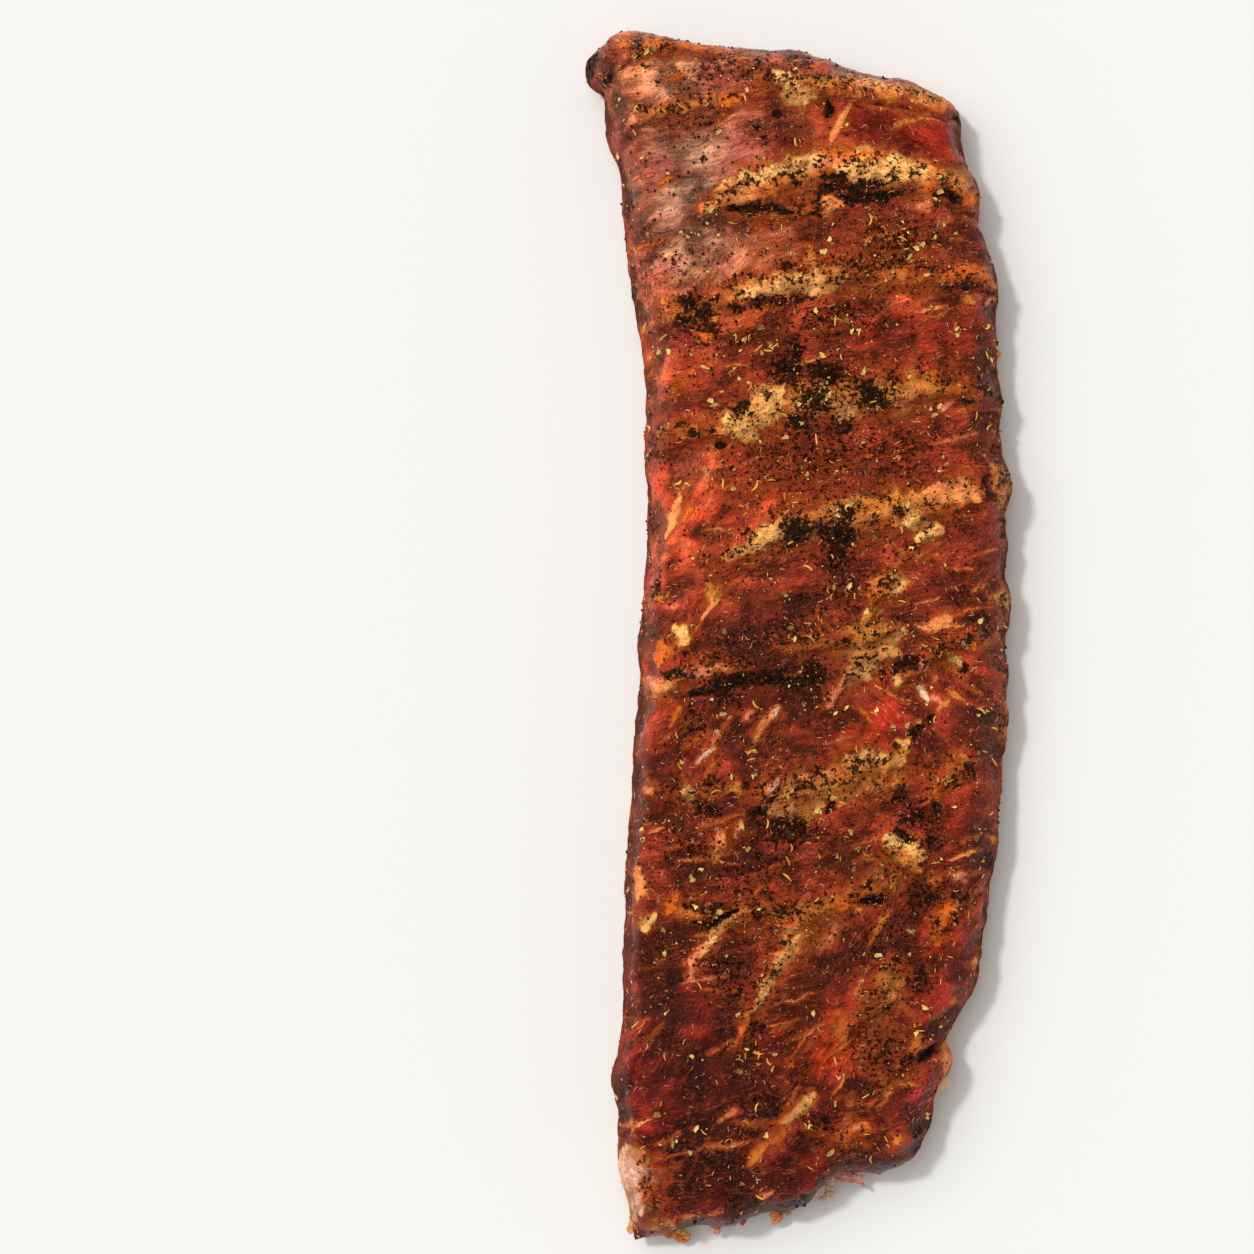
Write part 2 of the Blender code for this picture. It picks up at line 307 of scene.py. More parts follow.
def coons_net():
    """The net blended from the four sides, and each point's distance from the sides, in mm."""
    left = trembled(smooth_side(LEFT_SIDE, row_shares), 11)
    right = trembled(smooth_side(RIGHT_SIDE, row_shares), 12)
    tail = trembled(smooth_side(TAIL_END, column_shares), 13)
    head = trembled(smooth_side(HEAD_END, column_shares), 14)
    v = row_shares[:, None, None]
    u = column_shares[None, :, None]
    corners = (1 - v) * ((1 - u) * tail[0] + u * tail[-1]) + v * ((1 - u) * head[0] + u * head[-1])
    net = (1 - u) * left[:, None] + u * right[:, None] + (1 - v) * tail[None] + v * head[None] - corners
    to_left = np.linalg.norm(net - left[:, None], axis=2)
    to_right = np.linalg.norm(net - right[:, None], axis=2)
    to_tail = np.linalg.norm(net - tail[None], axis=2)
    to_head = np.linalg.norm(net - head[None], axis=2)
    return net, to_left, to_right, to_tail, to_head


net, to_left, to_right, to_tail, to_head = coons_net()
X = net[..., 0]
Y = net[..., 1]
print("net from", X.min().round(1), Y.min().round(1), "to", X.max().round(1), Y.max().round(1), "mm")

# %% [markdown]
# ## Brushes
# The rack's pattern is painted onto the net's points with two brushes, as on a real model: a
# stroke along a path and an oval dab. Both are soft, with half their strength left at the edge.
# The strokes are laid on a slightly crumpled copy of the coordinates, so that no edge is clean.


# %% Brush helpers
def near_path(x, y, path):
    """The distance of each point from a path, and how far along the path that is."""
    spots = np.array(path, float)
    if len(spots) == 1:
        return np.hypot(x - spots[0, 0], y - spots[0, 1]), np.full(x.shape, 0.5)
    best = np.full(x.shape, 1e9)
    share = np.zeros(x.shape)
    for k, (start, end) in enumerate(zip(spots, spots[1:])):
        run = end - start
        t = np.clip(((x - start[0]) * run[0] + (y - start[1]) * run[1]) / (run @ run), 0.0, 1.0)
        distance = np.hypot(x - start[0] - t * run[0], y - start[1] - t * run[1])
        share = np.where(distance < best, (k + t) / (len(spots) - 1), share)
        best = np.minimum(best, distance)
    return best, share


def stroke(x, y, path, half_width, sharpness=4.0):
    """1 along a path, 0.5 at its edge and 0 beyond. Its two ends are thinner."""
    distance, share = near_path(x, y, path)
    width = half_width * (0.14 + 0.86 * np.sin(np.pi * share) ** 0.75) + 0.1
    return 1.0 / (1.0 + (distance / width) ** sharpness)


def dab(x, y, centre_x, centre_y, half_length, half_width, angle=0.0, sharpness=4.0):
    """1 inside an oval, 0.5 at its edge and 0 beyond."""
    turn = math.radians(angle)
    along = (x - centre_x) * math.cos(turn) + (y - centre_y) * math.sin(turn)
    across = (y - centre_y) * math.cos(turn) - (x - centre_x) * math.sin(turn)
    return 1.0 / (1.0 + np.hypot(along / half_length, across / half_width) ** sharpness)


def towards(layer, target, share):
    """A layer of colours moved towards one colour."""
    return layer + (np.array(target) - layer) * share[..., None]


# The crumpled coordinates that strokes are laid on.
XC = X + 1.3 * hills(X, Y, 6.5, 21) + 0.8 * hills(X, Y, 2.6, 22) + 0.4 * hills(X, Y, 1.3, 25)
YC = Y + 1.1 * hills(X, Y, 6.5, 23) + 0.7 * hills(X, Y, 2.6, 24) + 0.4 * hills(X, Y, 1.3, 26)
# Halfway between plain and crumpled, for calmer edges.
XH = 0.6 * X + 0.4 * XC
YH = 0.6 * Y + 0.4 * YC


def shaken(amount, size, seed):
    """The net's coordinates, pushed about by random hills."""
    return X + amount * hills(X, Y, size, seed), Y + amount * hills(X, Y, size, seed + 1)


print("crumpled by up to", np.hypot(XC - X, YC - Y).max().round(2), "mm")

# %% [markdown]
# ## Grain
# Muscle fibres run in three main ways: with the ribs, steeply upwards on the left, and downwards
# to the right in the middle of the sawn side. The three shares are kept on the net as the
# channels of one colour, and both the relief and the shader read them.

# %% Shares of the three grains
GRAIN_ANGLES = (14.0, 54.0, -38.0)
STEEP_DABS = (
    (-25, 14, 16, 9, 55), (-20, 101, 10, 6, 30), (-30, -30, 12, 14, 50), (-34, -116, 11, 9, 45),
    (-12, -24, 10, 8, 50), (20, -84, 16, 8, 55), (8, -118, 18, 9, 45), (-30, 40, 12, 10, 50),
    (36, -108, 10, 9, 45),
)
FALLING_DABS = ((26, -20, 16, 11, -35), (40, -8, 12, 9, -35), (33, 142, 12, 7, -15))
steep = np.max([dab(X, Y, *place, 3.0) for place in STEEP_DABS], axis=0)
falling = np.max([dab(X, Y, *place, 3.0) for place in FALLING_DABS], axis=0)
grain = np.stack([np.clip(1.0 - steep - falling, 0.0, 1.0), steep, falling], axis=-1)
print("steep grain over", f"{(steep > 0.5).mean():.1%}", "and falling over",
    f"{(falling > 0.5).mean():.1%}")

# %% [markdown]
# ## Bands of fat
# Pale fat and gristle lie in slanting bands between the muscles, broken and uneven. Each line
# below is a tone, a half width, a strength and a path. A strength near 1 is solid fat. Near a half
# the fat is thin, and the shader later breaks it up into flecks.

# %% Fat strokes, in millimetres
FAT_STROKES = (
    # The head's rim and the bands below it.
    ("orange", 3.2, 0.95, ((-29, 118), (-18, 123.5), (-8, 127), (4, 131), (16, 133.5), (28, 131.5),
    (38, 129), (50, 123))),
    ("orange", 1.5, 0.75, ((-50, 164), (-44, 166.5), (-35, 166), (-25, 164.5), (-12, 164))),
    ("cream", 0.8, 0.8, ((-46, 160), (-45, 164))),
    ("tan", 1.2, 0.55, ((-47, 145), (-42, 145.5), (-36, 146), (-30, 148), (-24, 149.5))),
    ("orange", 1.8, 0.8, ((-22, 149.5), (-19, 147.5))),
    ("cream", 1.3, 1.0, ((-9, 158), (-5, 155), (-1, 152))),
    ("cream", 2.0, 0.9, ((-6, 151), (0, 149.5), (4, 149))),
    ("tan", 1.6, 0.85, ((0, 153.5), (10, 154), (20, 153.5), (30, 152), (38, 149.5), (43, 148))),
    ("cream", 1.0, 0.9, ((15, 153.5), (24, 153))),
    ("tan", 1.2, 0.75, ((14, 150), (25, 149.5), (35, 148), (41, 147.5))),
    ("peach", 0.5, 1.0, ((8, 138), (12, 146), (14, 148))),
    ("tan", 0.7, 0.8, ((25, 141), (28, 143), (33, 144.5), (38, 144))),
    ("cream", 2.6, 1.0, ((16, 135), (22, 134), (28, 132.5), (31, 131.5))),
    ("cream", 2.4, 0.95, ((10, 129.5), (16, 128), (28, 129), (38, 128.5))),
    ("tan", 2.4, 0.9, ((36, 128.5), (45, 127), (49, 125))),
    ("cream", 1.4, 0.9, ((13, 131.5), (17, 130.5))),
    ("cream", 1.7, 0.95, ((-24, 124), (-15, 127), (-8, 128.5), (-2, 130.5), (5, 132.5), (9, 132))),
    ("peach", 2.0, 0.8, ((-28, 117), (-22, 121.5), (-15, 121.5), (-12, 122))),
    ("orange", 2.0, 0.75, ((34, 125), (36, 121), (35, 118))),
    ("orange", 2.0, 0.75, ((46, 124), (48, 120))),
    ("peach", 1.6, 0.8, ((5, 116), (8, 119.5), (11, 121))),
    ("pink", 1.5, 0.6, ((30, 119.5), (36, 121.5))),
    # Over the third rib.
    ("tan", 1.0, 0.8, ((-20, 93), (-17, 95.5), (-14, 97))),
    ("tan", 2.2, 0.85, ((-15, 97), (-10, 98.5), (-5, 98), (0, 98))),
    ("tan", 2.8, 0.9, ((0, 98), (5, 97.5), (11, 98.5))),
    ("tan", 1.8, 0.8, ((2, 108), (3, 103))),
    ("brown tan", 1.8, 0.8, ((14, 97), (20, 98), (25, 97))),
    ("tan", 1.2, 0.5, ((27, 98), (29, 101))),
    ("orange", 1.5, 0.8, ((38, 100.5), (43, 101.5), (48, 101.5), (52, 100.5), (54, 97))),
    ("tan", 1.2, 0.6, ((44, 93.5), (48, 93.5))),
    ("tan", 0.6, 0.7, ((-22, 90), (-25, 87))),
    ("orange", 1.5, 0.7, ((-30, 82), (-24, 84))),
    ("orange", 0.9, 0.7, ((-37, 66), (-33, 70.5), (-29, 75))),
    ("cream", 2.0, 0.85, ((-16, 94.5), (-6, 97), (4, 98), (13, 99))),
    # Over the fourth rib.
    ("tan", 3.0, 0.85, ((-26, 56), (-12, 61), (0, 65), (12, 64), (24, 66), (36, 69))),
    ("cream", 2.6, 1.0, ((-5, 70), (-8, 67), (-11, 63), (-6, 61))),
    ("cream", 2.2, 1.0, ((4, 69), (8, 66), (12, 62.5), (15, 64))),
    ("tan", 1.0, 0.8, ((12, 68), (15, 67))),
    ("tan", 1.8, 0.85, ((24, 66), (30, 69), (36, 69.5), (41, 68))),
    ("orange", 1.2, 0.65, ((36, 72), (39, 73))),
    ("orange", 1.4, 0.65, ((42, 68), (46, 71))),
    ("tan", 0.8, 0.7, ((24, 60), (28, 62), (33, 64))),
    ("cream", 2.4, 0.95, ((-22, 60), (-17, 59), (-14, 57), (-18, 55))),
    ("tan", 1.0, 0.7, ((-40, 58), (-37, 58))),
    ("tan", 1.6, 0.6, ((-33, 54.5), (-29, 58))),
    ("peach", 1.0, 0.9, ((-38, 26), (-36, 31), (-34.5, 36), (-33.5, 40))),
    # Over the fifth rib.
    ("tan", 3.2, 0.8, ((-22, 21), (-8, 28.5), (6, 32), (16, 35), (30, 37), (48, 40))),
    ("cream", 2.0, 0.95, ((-20, 22), (-15, 24.5), (-10, 27.5), (-6, 30.5), (-5, 32))),
    ("orange", 1.4, 0.7, ((-16, 20.5), (-11, 22))),
    ("tan", 2.5, 0.9, ((12, 38), (16, 35.5), (18, 34))),
    ("tan", 3.0, 0.9, ((20, 37), (25, 36.5), (30, 37.5), (34, 37))),
    ("brown tan", 2.6, 0.7, ((17, 28), (20, 30.5), (23, 33))),
    ("cream", 1.8, 1.0, ((31, 32),)),
    ("cream", 2.2, 1.0, ((31, 28), (35, 28.5), (39, 30))),
    ("peach", 3.0, 0.9, ((34, 40), (40, 40.5), (45, 39.5), (48, 38))),
    ("orange", 1.5, 0.8, ((44, 36), (40, 34), (42, 33))),
    ("tan", 2.3, 0.85, ((53, 48), (56, 44), (57, 38), (57, 33))),
    ("orange", 3.0, 0.75, ((23, 17), (22, 13), (20, 9))),
    ("cream", 1.8, 0.95, ((25, 18), (26.5, 15), (26, 11))),
    ("tan", 1.2, 0.8, ((24, 8.5), (19, 6), (16, 3))),
    ("tan", 1.8, 0.8, ((-24, 12.5),)),
    ("peach", 0.8, 0.8, ((34, 2), (40, 5), (44, 3))),
    ("peach", 0.7, 0.8, ((32, 3), (36, 2), (42, 3))),
    ("cream", 1.8, 0.9, ((57, 8), (57.2, 14))),
    # Over the sixth rib.
    ("cream", 1.8, 0.95, ((-35, 3), (-33, 0), (-31.5, -2))),
    ("orange", 2.6, 0.8, ((-38, -1), (-38.5, -4), (-39, -8))),
    ("peach", 1.8, 0.85, ((-38, -11), (-40, -14), (-35, -14))),
    ("pink", 1.5, 0.75, ((-36, -10), (-31, -10.5), (-25, -9), (-21, -8))),
    ("tan", 1.0, 0.7, ((-25, -11), (-22, -9))),
    ("tan", 1.8, 0.85, ((14, 3), (17, 1), (21, 0), (22, 2))),
    ("orange", 2.2, 0.7, ((5, -4), (13, -5))),
    ("cream", 2.0, 0.95, ((17, -5.5),)),
    ("cream", 2.2, 1.0, ((22, -4), (25, -3), (27, -2))),
    ("pink", 0.9, 1.0, ((23, -6), (19, -9), (16, -11.5), (12, -14), (9, -17), (7, -20))),
    ("white", 0.5, 0.9, ((44, -1), (46.5, -3.5))),
    ("cream", 0.6, 0.9, ((41, -4.5), (44.5, -8.5))),
    ("orange", 1.0, 0.8, ((47, 1), (48, -4))),
    ("tan", 0.6, 0.8, ((35, -6), (38, -7))),
    ("pink", 1.2, 0.8, ((32, -7), (35, -9))),
    ("tan", 0.6, 0.8, ((37, -11), (38, -12.5))),
    ("white", 0.45, 0.8, ((32, -12.5), (34, -15.5), (36, -18.5))),
    ("pink", 0.6, 0.7, ((36, -16), (39, -18))),
    ("tan", 1.2, 0.75, ((38.5, -18), (41, -19.5))),
    ("tan", 0.7, 0.7, ((33, -23), (32, -25))),
    ("cream", 1.2, 0.9, ((27.5, -12.5),)),
    ("tan", 1.3, 0.8, ((57, -20), (58, -25), (57, -31))),
    ("cream", 1.9, 1.0, ((13, -13), (18, -8), (24, -2.5), (29, 3))),
    # Over the seventh rib.
    ("tan", 4.2, 0.9, ((4, -44), (15, -39), (28, -32.5))),
    ("cream", 3.6, 1.0, ((-9, -49), (-1, -46), (8, -42))),
    ("cream", 2.2, 0.9, ((-33, -44), (-29, -43))),
    ("tan", 1.5, 0.85, ((-21, -43), (-18, -42), (-17, -41))),
    ("orange", 1.3, 0.75, ((-12, -42), (-8, -41))),
    ("white", 0.5, 0.8, ((-9, -43), (-6, -39))),
    ("peach", 1.2, 0.7, ((-43, -40), (-41, -44))),
    ("cream", 2.4, 1.0, ((0, -42.5), (6, -41))),
    ("cream", 1.9, 0.95, ((-3, -46.5), (6, -47.5))),
    ("tan", 4.2, 0.80, ((-2, -45), (7, -43.5))),
    ("orange", 1.4, 0.7, ((-7, -48), (-4, -46))),
    ("orange", 1.0, 0.7, ((1, -38), (5, -38))),
    ("cream", 1.3, 0.95, ((28, -28.5), (29, -31))),
    ("cream", 1.5, 0.9, ((12, -33), (20, -33.5), (25, -34))),
    ("cream", 1.5, 0.85, ((26, -37), (28, -34))),
    ("orange", 2.0, 0.85, ((37, -44), (39, -43))),
    ("tan", 0.9, 0.7, ((44, -33), (47, -34))),
    ("pink", 0.8, 0.7, ((-16, -51), (-18.5, -56))),
    ("orange", 0.8, 0.7, ((-33, -31), (-30, -29), (-26, -26))),
    ("orange", 0.6, 0.7, ((-33, -19), (-36, -25))),
    ("pink", 0.6, 0.8, ((-16, -23.5), (-13, -20))),
    ("white", 0.5, 0.8, ((-10, -24), (-6, -19))),
    ("pink", 0.7, 0.6, ((-13, -28), (-8, -22))),
    ("white", 0.5, 0.7, ((-30, -36), (-24, -31))),
    ("pink", 1.0, 0.8, ((-22, -53.5), (-24, -58), (-26, -62))),
    # Over the eighth rib.
    ("cream", 2.0, 0.95, ((22, -56), (25, -57), (29, -59), (33, -61))),
    ("tan", 1.5, 0.75, ((25, -60), (30, -63), (33, -65))),
    ("tan", 1.2, 0.8, ((16, -71), (22, -71))),
    ("tan", 0.8, 0.8, ((15, -76), (17, -75))),
    ("orange", 2.0, 0.8, ((7, -73), (10, -75), (14, -73))),
    ("cream", 2.5, 0.95, ((-5, -85), (-2, -83), (1, -80), (2, -78))),
    ("orange", 1.2, 0.7, ((-8, -79), (0, -77))),
    ("pink", 0.8, 0.8, ((-5, -90), (-3, -87.5))),
    ("pink", 1.5, 0.75, ((-8, -94), (-4, -89))),
    ("tan", 1.3, 0.8, ((-10, -95), (-11, -99), (-13, -103))),
    ("tan", 1.5, 0.75, ((-14, -106), (-18, -110))),
    ("cream", 1.1, 1.0, ((-28, -89.5), (-26.5, -86), (-24, -82), (-21, -79.5), (-17, -77))),
    ("tan", 0.8, 0.8, ((-33, -75.5), (-30, -76.5))),
    ("tan", 0.6, 0.7, ((-29, -77), (-22, -76))),
    ("orange", 1.0, 0.75, ((-35, -71), (-37, -77))),
    ("pink", 0.6, 0.7, ((-30, -92), (-31, -96))),
    ("peach", 1.0, 0.95, ((-45, -64), (-44, -70), (-44.5, -74))),
    ("cream", 1.0, 0.95, ((-43, -82), (-43, -79), (-40.5, -76.5))),
    ("pink", 1.3, 0.6, ((5, -87), (8, -83), (11, -79))),
    ("tan", 0.7, 0.75, ((19, -86), (22, -80), (25, -76))),
    ("pink", 2.8, 0.8, ((45, -64.5), (45.5, -68))),
    ("orange", 1.4, 0.8, ((36.5, -68),)),
    ("orange", 1.8, 0.8, ((39, -80), (40, -76), (44, -75.5))),
    ("orange", 1.2, 0.7, ((37, -83), (39, -86))),
    ("tan", 1.2, 0.8, ((53, -58), (54, -55.5))),
    ("tan", 1.3, 0.8, ((49, -89), (49.5, -93))),
    # Over the ninth rib and the tail.
    ("tan", 4.6, 0.72, ((25, -93), (25, -99))),
    ("tan", 1.4, 0.85, ((22, -102), (27, -100))),
    ("peach", 1.7, 0.75, ((18, -113), (22, -106), (26, -100))),
    ("tan", 1.5, 0.8, ((21, -106), (24, -103.5), (26, -103.5))),
    ("orange", 1.6, 0.65, ((42, -100), (45, -103))),
    ("orange", 1.8, 0.65, ((9, -105), (14, -109))),
    ("tan", 1.2, 0.6, ((10, -112), (13, -110))),
    ("tan", 1.2, 0.7, ((31, -115), (34, -111))),
    ("peach", 1.8, 0.95, ((40, -113), (41.5, -117), (40.5, -122))),
    ("tan", 1.3, 0.8, ((23, -125.5), (26, -127.5))),
    ("tan", 1.0, 0.7, ((14, -129),)),
    ("orange", 3.0, 0.6, ((12, -142), (14, -138), (19, -135))),
    ("tan", 1.3, 0.7, ((27, -139.5),)),
    ("orange", 1.6, 0.62, ((-15, -148), (-9, -141), (-3, -134), (4, -126))),
    ("cream", 1.0, 0.95, ((-5, -135), (0, -131), (4, -126))),
    ("orange", 2.2, 0.62, ((-18, -111), (-12, -101), (-7, -93), (1, -82), (7, -76), (22, -69))),
    ("cream", 1.1, 0.9, ((-13, -104), (-10, -98), (-6, -91), (0, -83))),
    ("pink", 0.8, 0.8, ((-31, -96), (-30, -90), (-28, -86))),
    ("peach", 0.9, 0.8, ((-24, -63), (-22, -57), (-20, -53))),
    ("peach", 0.8, 0.75, ((-14, -31), (-11, -25), (-8, -20))),
    ("tan", 0.7, 0.75, ((-14, -147), (-11, -143.5), (-8, -139))),
    ("tan", 0.6, 0.6, ((-20, -115), (-16, -111))),
    ("white", 4.2, 1.15, ((-48.2, -142), (-47.6, -148), (-46.6, -153), (-45.0, -162))),
    ("orange", 1.5, 0.85, ((-44, -149), (-43, -154), (-42.5, -158))),
    ("tan", 0.6, 0.8, ((-47.5, -134), (-47, -138))),
    ("tan", 2.0, 0.75, ((-46, -142), (-46, -147))),
    ("cream", 0.7, 0.9, ((-49.5, -152), (-47, -160), (-46, -166))),
    ("tan", 1.8, 0.75, ((-38.5, -165),)),
)
# The broad dirty bands that the strokes lie in: half width, strength and path.
BAND_ZONES = (
    (3.8, 0.50, ((-12, 156), (0, 153), (14, 152), (30, 150), (44, 147))),
    (5.2, 0.52, ((-27, 118), (-12, 125), (4, 128), (20, 130), (34, 127), (48, 122))),
    (3.0, 0.46, ((-20, 117), (-6, 117), (8, 118))),
    (4.2, 0.50, ((-40, 88), (-28, 91), (-14, 96), (4, 101), (24, 100), (40, 100), (54, 99))),
    (6.0, 0.52, ((-40, 56), (-22, 59), (-4, 66), (10, 67), (24, 68), (41, 70), (55, 66))),
    (6.6, 0.52, ((-22, 21), (-8, 29), (8, 32), (22, 34), (36, 37), (50, 41))),
    (3.4, 0.46, ((20, 8), (25, 15), (31, 24), (37, 30))),
    (4.4, 0.50, ((-8, -2), (6, -2), (18, 0), (28, 4))), (3.0, 0.50, ((6, -20), (16, -10), (26, -3))),
    (3.6, 0.44, ((30, -10), (40, -4), (50, 2))), (3.0, 0.44, ((-40, -14), (-28, -9), (-14, -8))),
    (5.6, 0.54, ((-14, -45), (-2, -44), (12, -39), (28, -32))),
    (3.0, 0.44, ((-38, -44), (-28, -43), (-16, -42))),
    (4.4, 0.50, ((20, -56), (30, -61), (34, -66))), (4.0, 0.48, ((34, -46), (42, -38), (50, -34))),
    (4.6, 0.52, ((-34, -76), (-16, -77), (-2, -79), (12, -73), (28, -66))),
    (2.4, 0.48, ((-2, -84), (-8, -94), (-14, -106))),
    (3.4, 0.46, ((36, -84), (42, -76), (50, -70))), (6.0, 0.50, ((25, -88), (24, -100), (14, -108))),
    (3.4, 0.46, ((20, -128), (28, -120), (38, -112))), (3.0, 0.44, ((0, -136), (12, -140), (22, -136))),
    (2.6, 0.46, ((-44, -146), (-42, -158), (-34, -166))),
    (3.0, 0.44, ((-50, 160), (-40, 165), (-20, 163))),
    (3.0, 0.42, ((-46, 144), (-32, 146), (-18, 149))), (3.0, 0.50, ((54, 60), (57, 44), (56, 30))),
    (2.4, 0.46, ((56, 14), (57, -4), (57, -30))),
)
# The only fat in the clean red panel near the head's right corner.
PANEL_STROKES = (
    ("peach", 0.9, 0.9, ((8, 137), (11, 143), (14, 148))),
    ("peach", 0.9, 0.55, ((25, 140.5), (28, 142.5), (33, 144), (39, 143.5))),
    ("tan", 0.8, 0.5, ((16, 148), (26, 146.5), (38, 145))),
)
# Wide thin fat that only shows as flecks: tone, centre, half length, half width, angle, strength.
FAT_HAZE = (
    ("tan", 8, 102, 5, 4, 10, 0.55), ("tan", -38, 92, 3, 3.5, 0, 0.55), ("tan", 6, 63, 3, 3, 0, 0.5),
    ("tan", 19, -1, 7, 6.5, 15, 0.52), ("tan", 20, -39, 12, 6, 12, 0.56),
    ("tan", 24, -67, 7, 5, -10, 0.5), ("tan", 4, -77, 5, 6, 50, 0.56),
    ("brown tan", 20, 110, 12, 6, 5, 0.42),
    ("white", -47.4, -151, 8.5, 2.8, 97, 1.0), ("tan", -24, 20, 5, 8, 60, 0.36),
    ("tan", 52, 0, 4, 6, 90, 0.46), ("brown tan", -2, 44, 18, 8, 12, 0.30),
    ("tan", 30, 105, 10, 3, 5, 0.40), ("tan", -45, 162, 6, 3, 10, 0.5),
    ("brown tan", 22, -115, 9, 8, 20, 0.34),
)
print(len(FAT_STROKES), "strokes of fat and", len(BAND_ZONES), "bands")

# %% Paint the fat
STREAKS = 150
STREAK_TONES = ("orange", "peach", "pink", "tan", "brown tan")
fat = np.zeros_like(X)
fat_tint = np.zeros(X.shape + (3,)) + np.array(FAT_TONES["brown tan"])
for tone, half_width, strength, path in FAT_STROKES:
    crumple = np.clip(half_width / 1.6, 0.25, 1.0)
    x, y = X + crumple * (XC - X), Y + crumple * (YC - Y)
    mark = stroke(x, y, path, 1.3 * half_width + 0.30, 1.9 if half_width < 1.1 else 2.4)
    fat = np.maximum(fat, strength * mark)
    fat_tint = towards(fat_tint, FAT_TONES[tone], stroke(x, y, path, 1.3 * half_width + 0.4))
patchy = 1.0 + 0.55 * layered(X, Y, 3.8, 28)
for half_width, strength, path in BAND_ZONES:
    mark = stroke(XC, YC, path, 1.1 * half_width, 2.6)
    fat = np.maximum(fat, 1.12 * strength * mark * patchy)
for tone, x, y, half_length, half_width, angle, strength in FAT_HAZE:
    mark = dab(XC, YC, x, y, half_length, half_width, angle)
    fat = np.maximum(fat, strength * mark)
    fat_tint = towards(fat_tint, FAT_TONES[tone], 0.7 * mark)
# The smooth window of clean red meat under the head's right corner.
red_panel = dab(XH, YH, 27.5, 141.5, 18.5, 7.2, -9, 9.0)
rng = np.random.default_rng(77)
for _ in range(STREAKS):
    row, column = rng.integers(12, ROWS - 12), rng.integers(8, COLUMNS - 8)
    way = math.radians(GRAIN_ANGLES[int(grain[row, column].argmax())] + rng.uniform(-14, 14))
    reach = rng.uniform(2.0, 7.5)
    middle = np.array((X[row, column], Y[row, column]))
    run = reach * np.array((math.cos(way), math.sin(way)))
    bow = rng.uniform(-0.12, 0.12) * np.array((-run[1], run[0]))
    path = (middle - run, middle + bow, middle + run)
    near = np.abs(Y - middle[1]) < 12.0
    rows = np.flatnonzero(near.any(axis=1))
    part = slice(rows[0], rows[-1] + 1)
    tone = STREAK_TONES[rng.integers(len(STREAK_TONES))]
    half_width = rng.uniform(0.25, 0.75)
    strength = rng.uniform(0.42, 0.85)
    mark = stroke(0.5 * (X + XC)[part], 0.5 * (Y + YC)[part], path, half_width, 2.6)
    fat[part] = np.maximum(fat[part], strength * mark)
    mark = stroke(XC[part], YC[part], path, 1.5 * half_width)
    fat_tint[part] = towards(fat_tint[part], FAT_TONES[tone], mark)
fat *= np.clip(0.92 + 0.32 * layered(X, Y, 4.2, 27), 0.3, 1.15) * (1.0 - 0.88 * red_panel)
for tone, half_width, strength, path in PANEL_STROKES:
    mark = stroke(X, Y, path, half_width, 2.4)
    fat = np.maximum(fat, strength * mark)
    fat_tint = towards(fat_tint, FAT_TONES[tone], mark)
print("fat covers", f"{(fat > 0.5).mean():.1%}", "of the net")
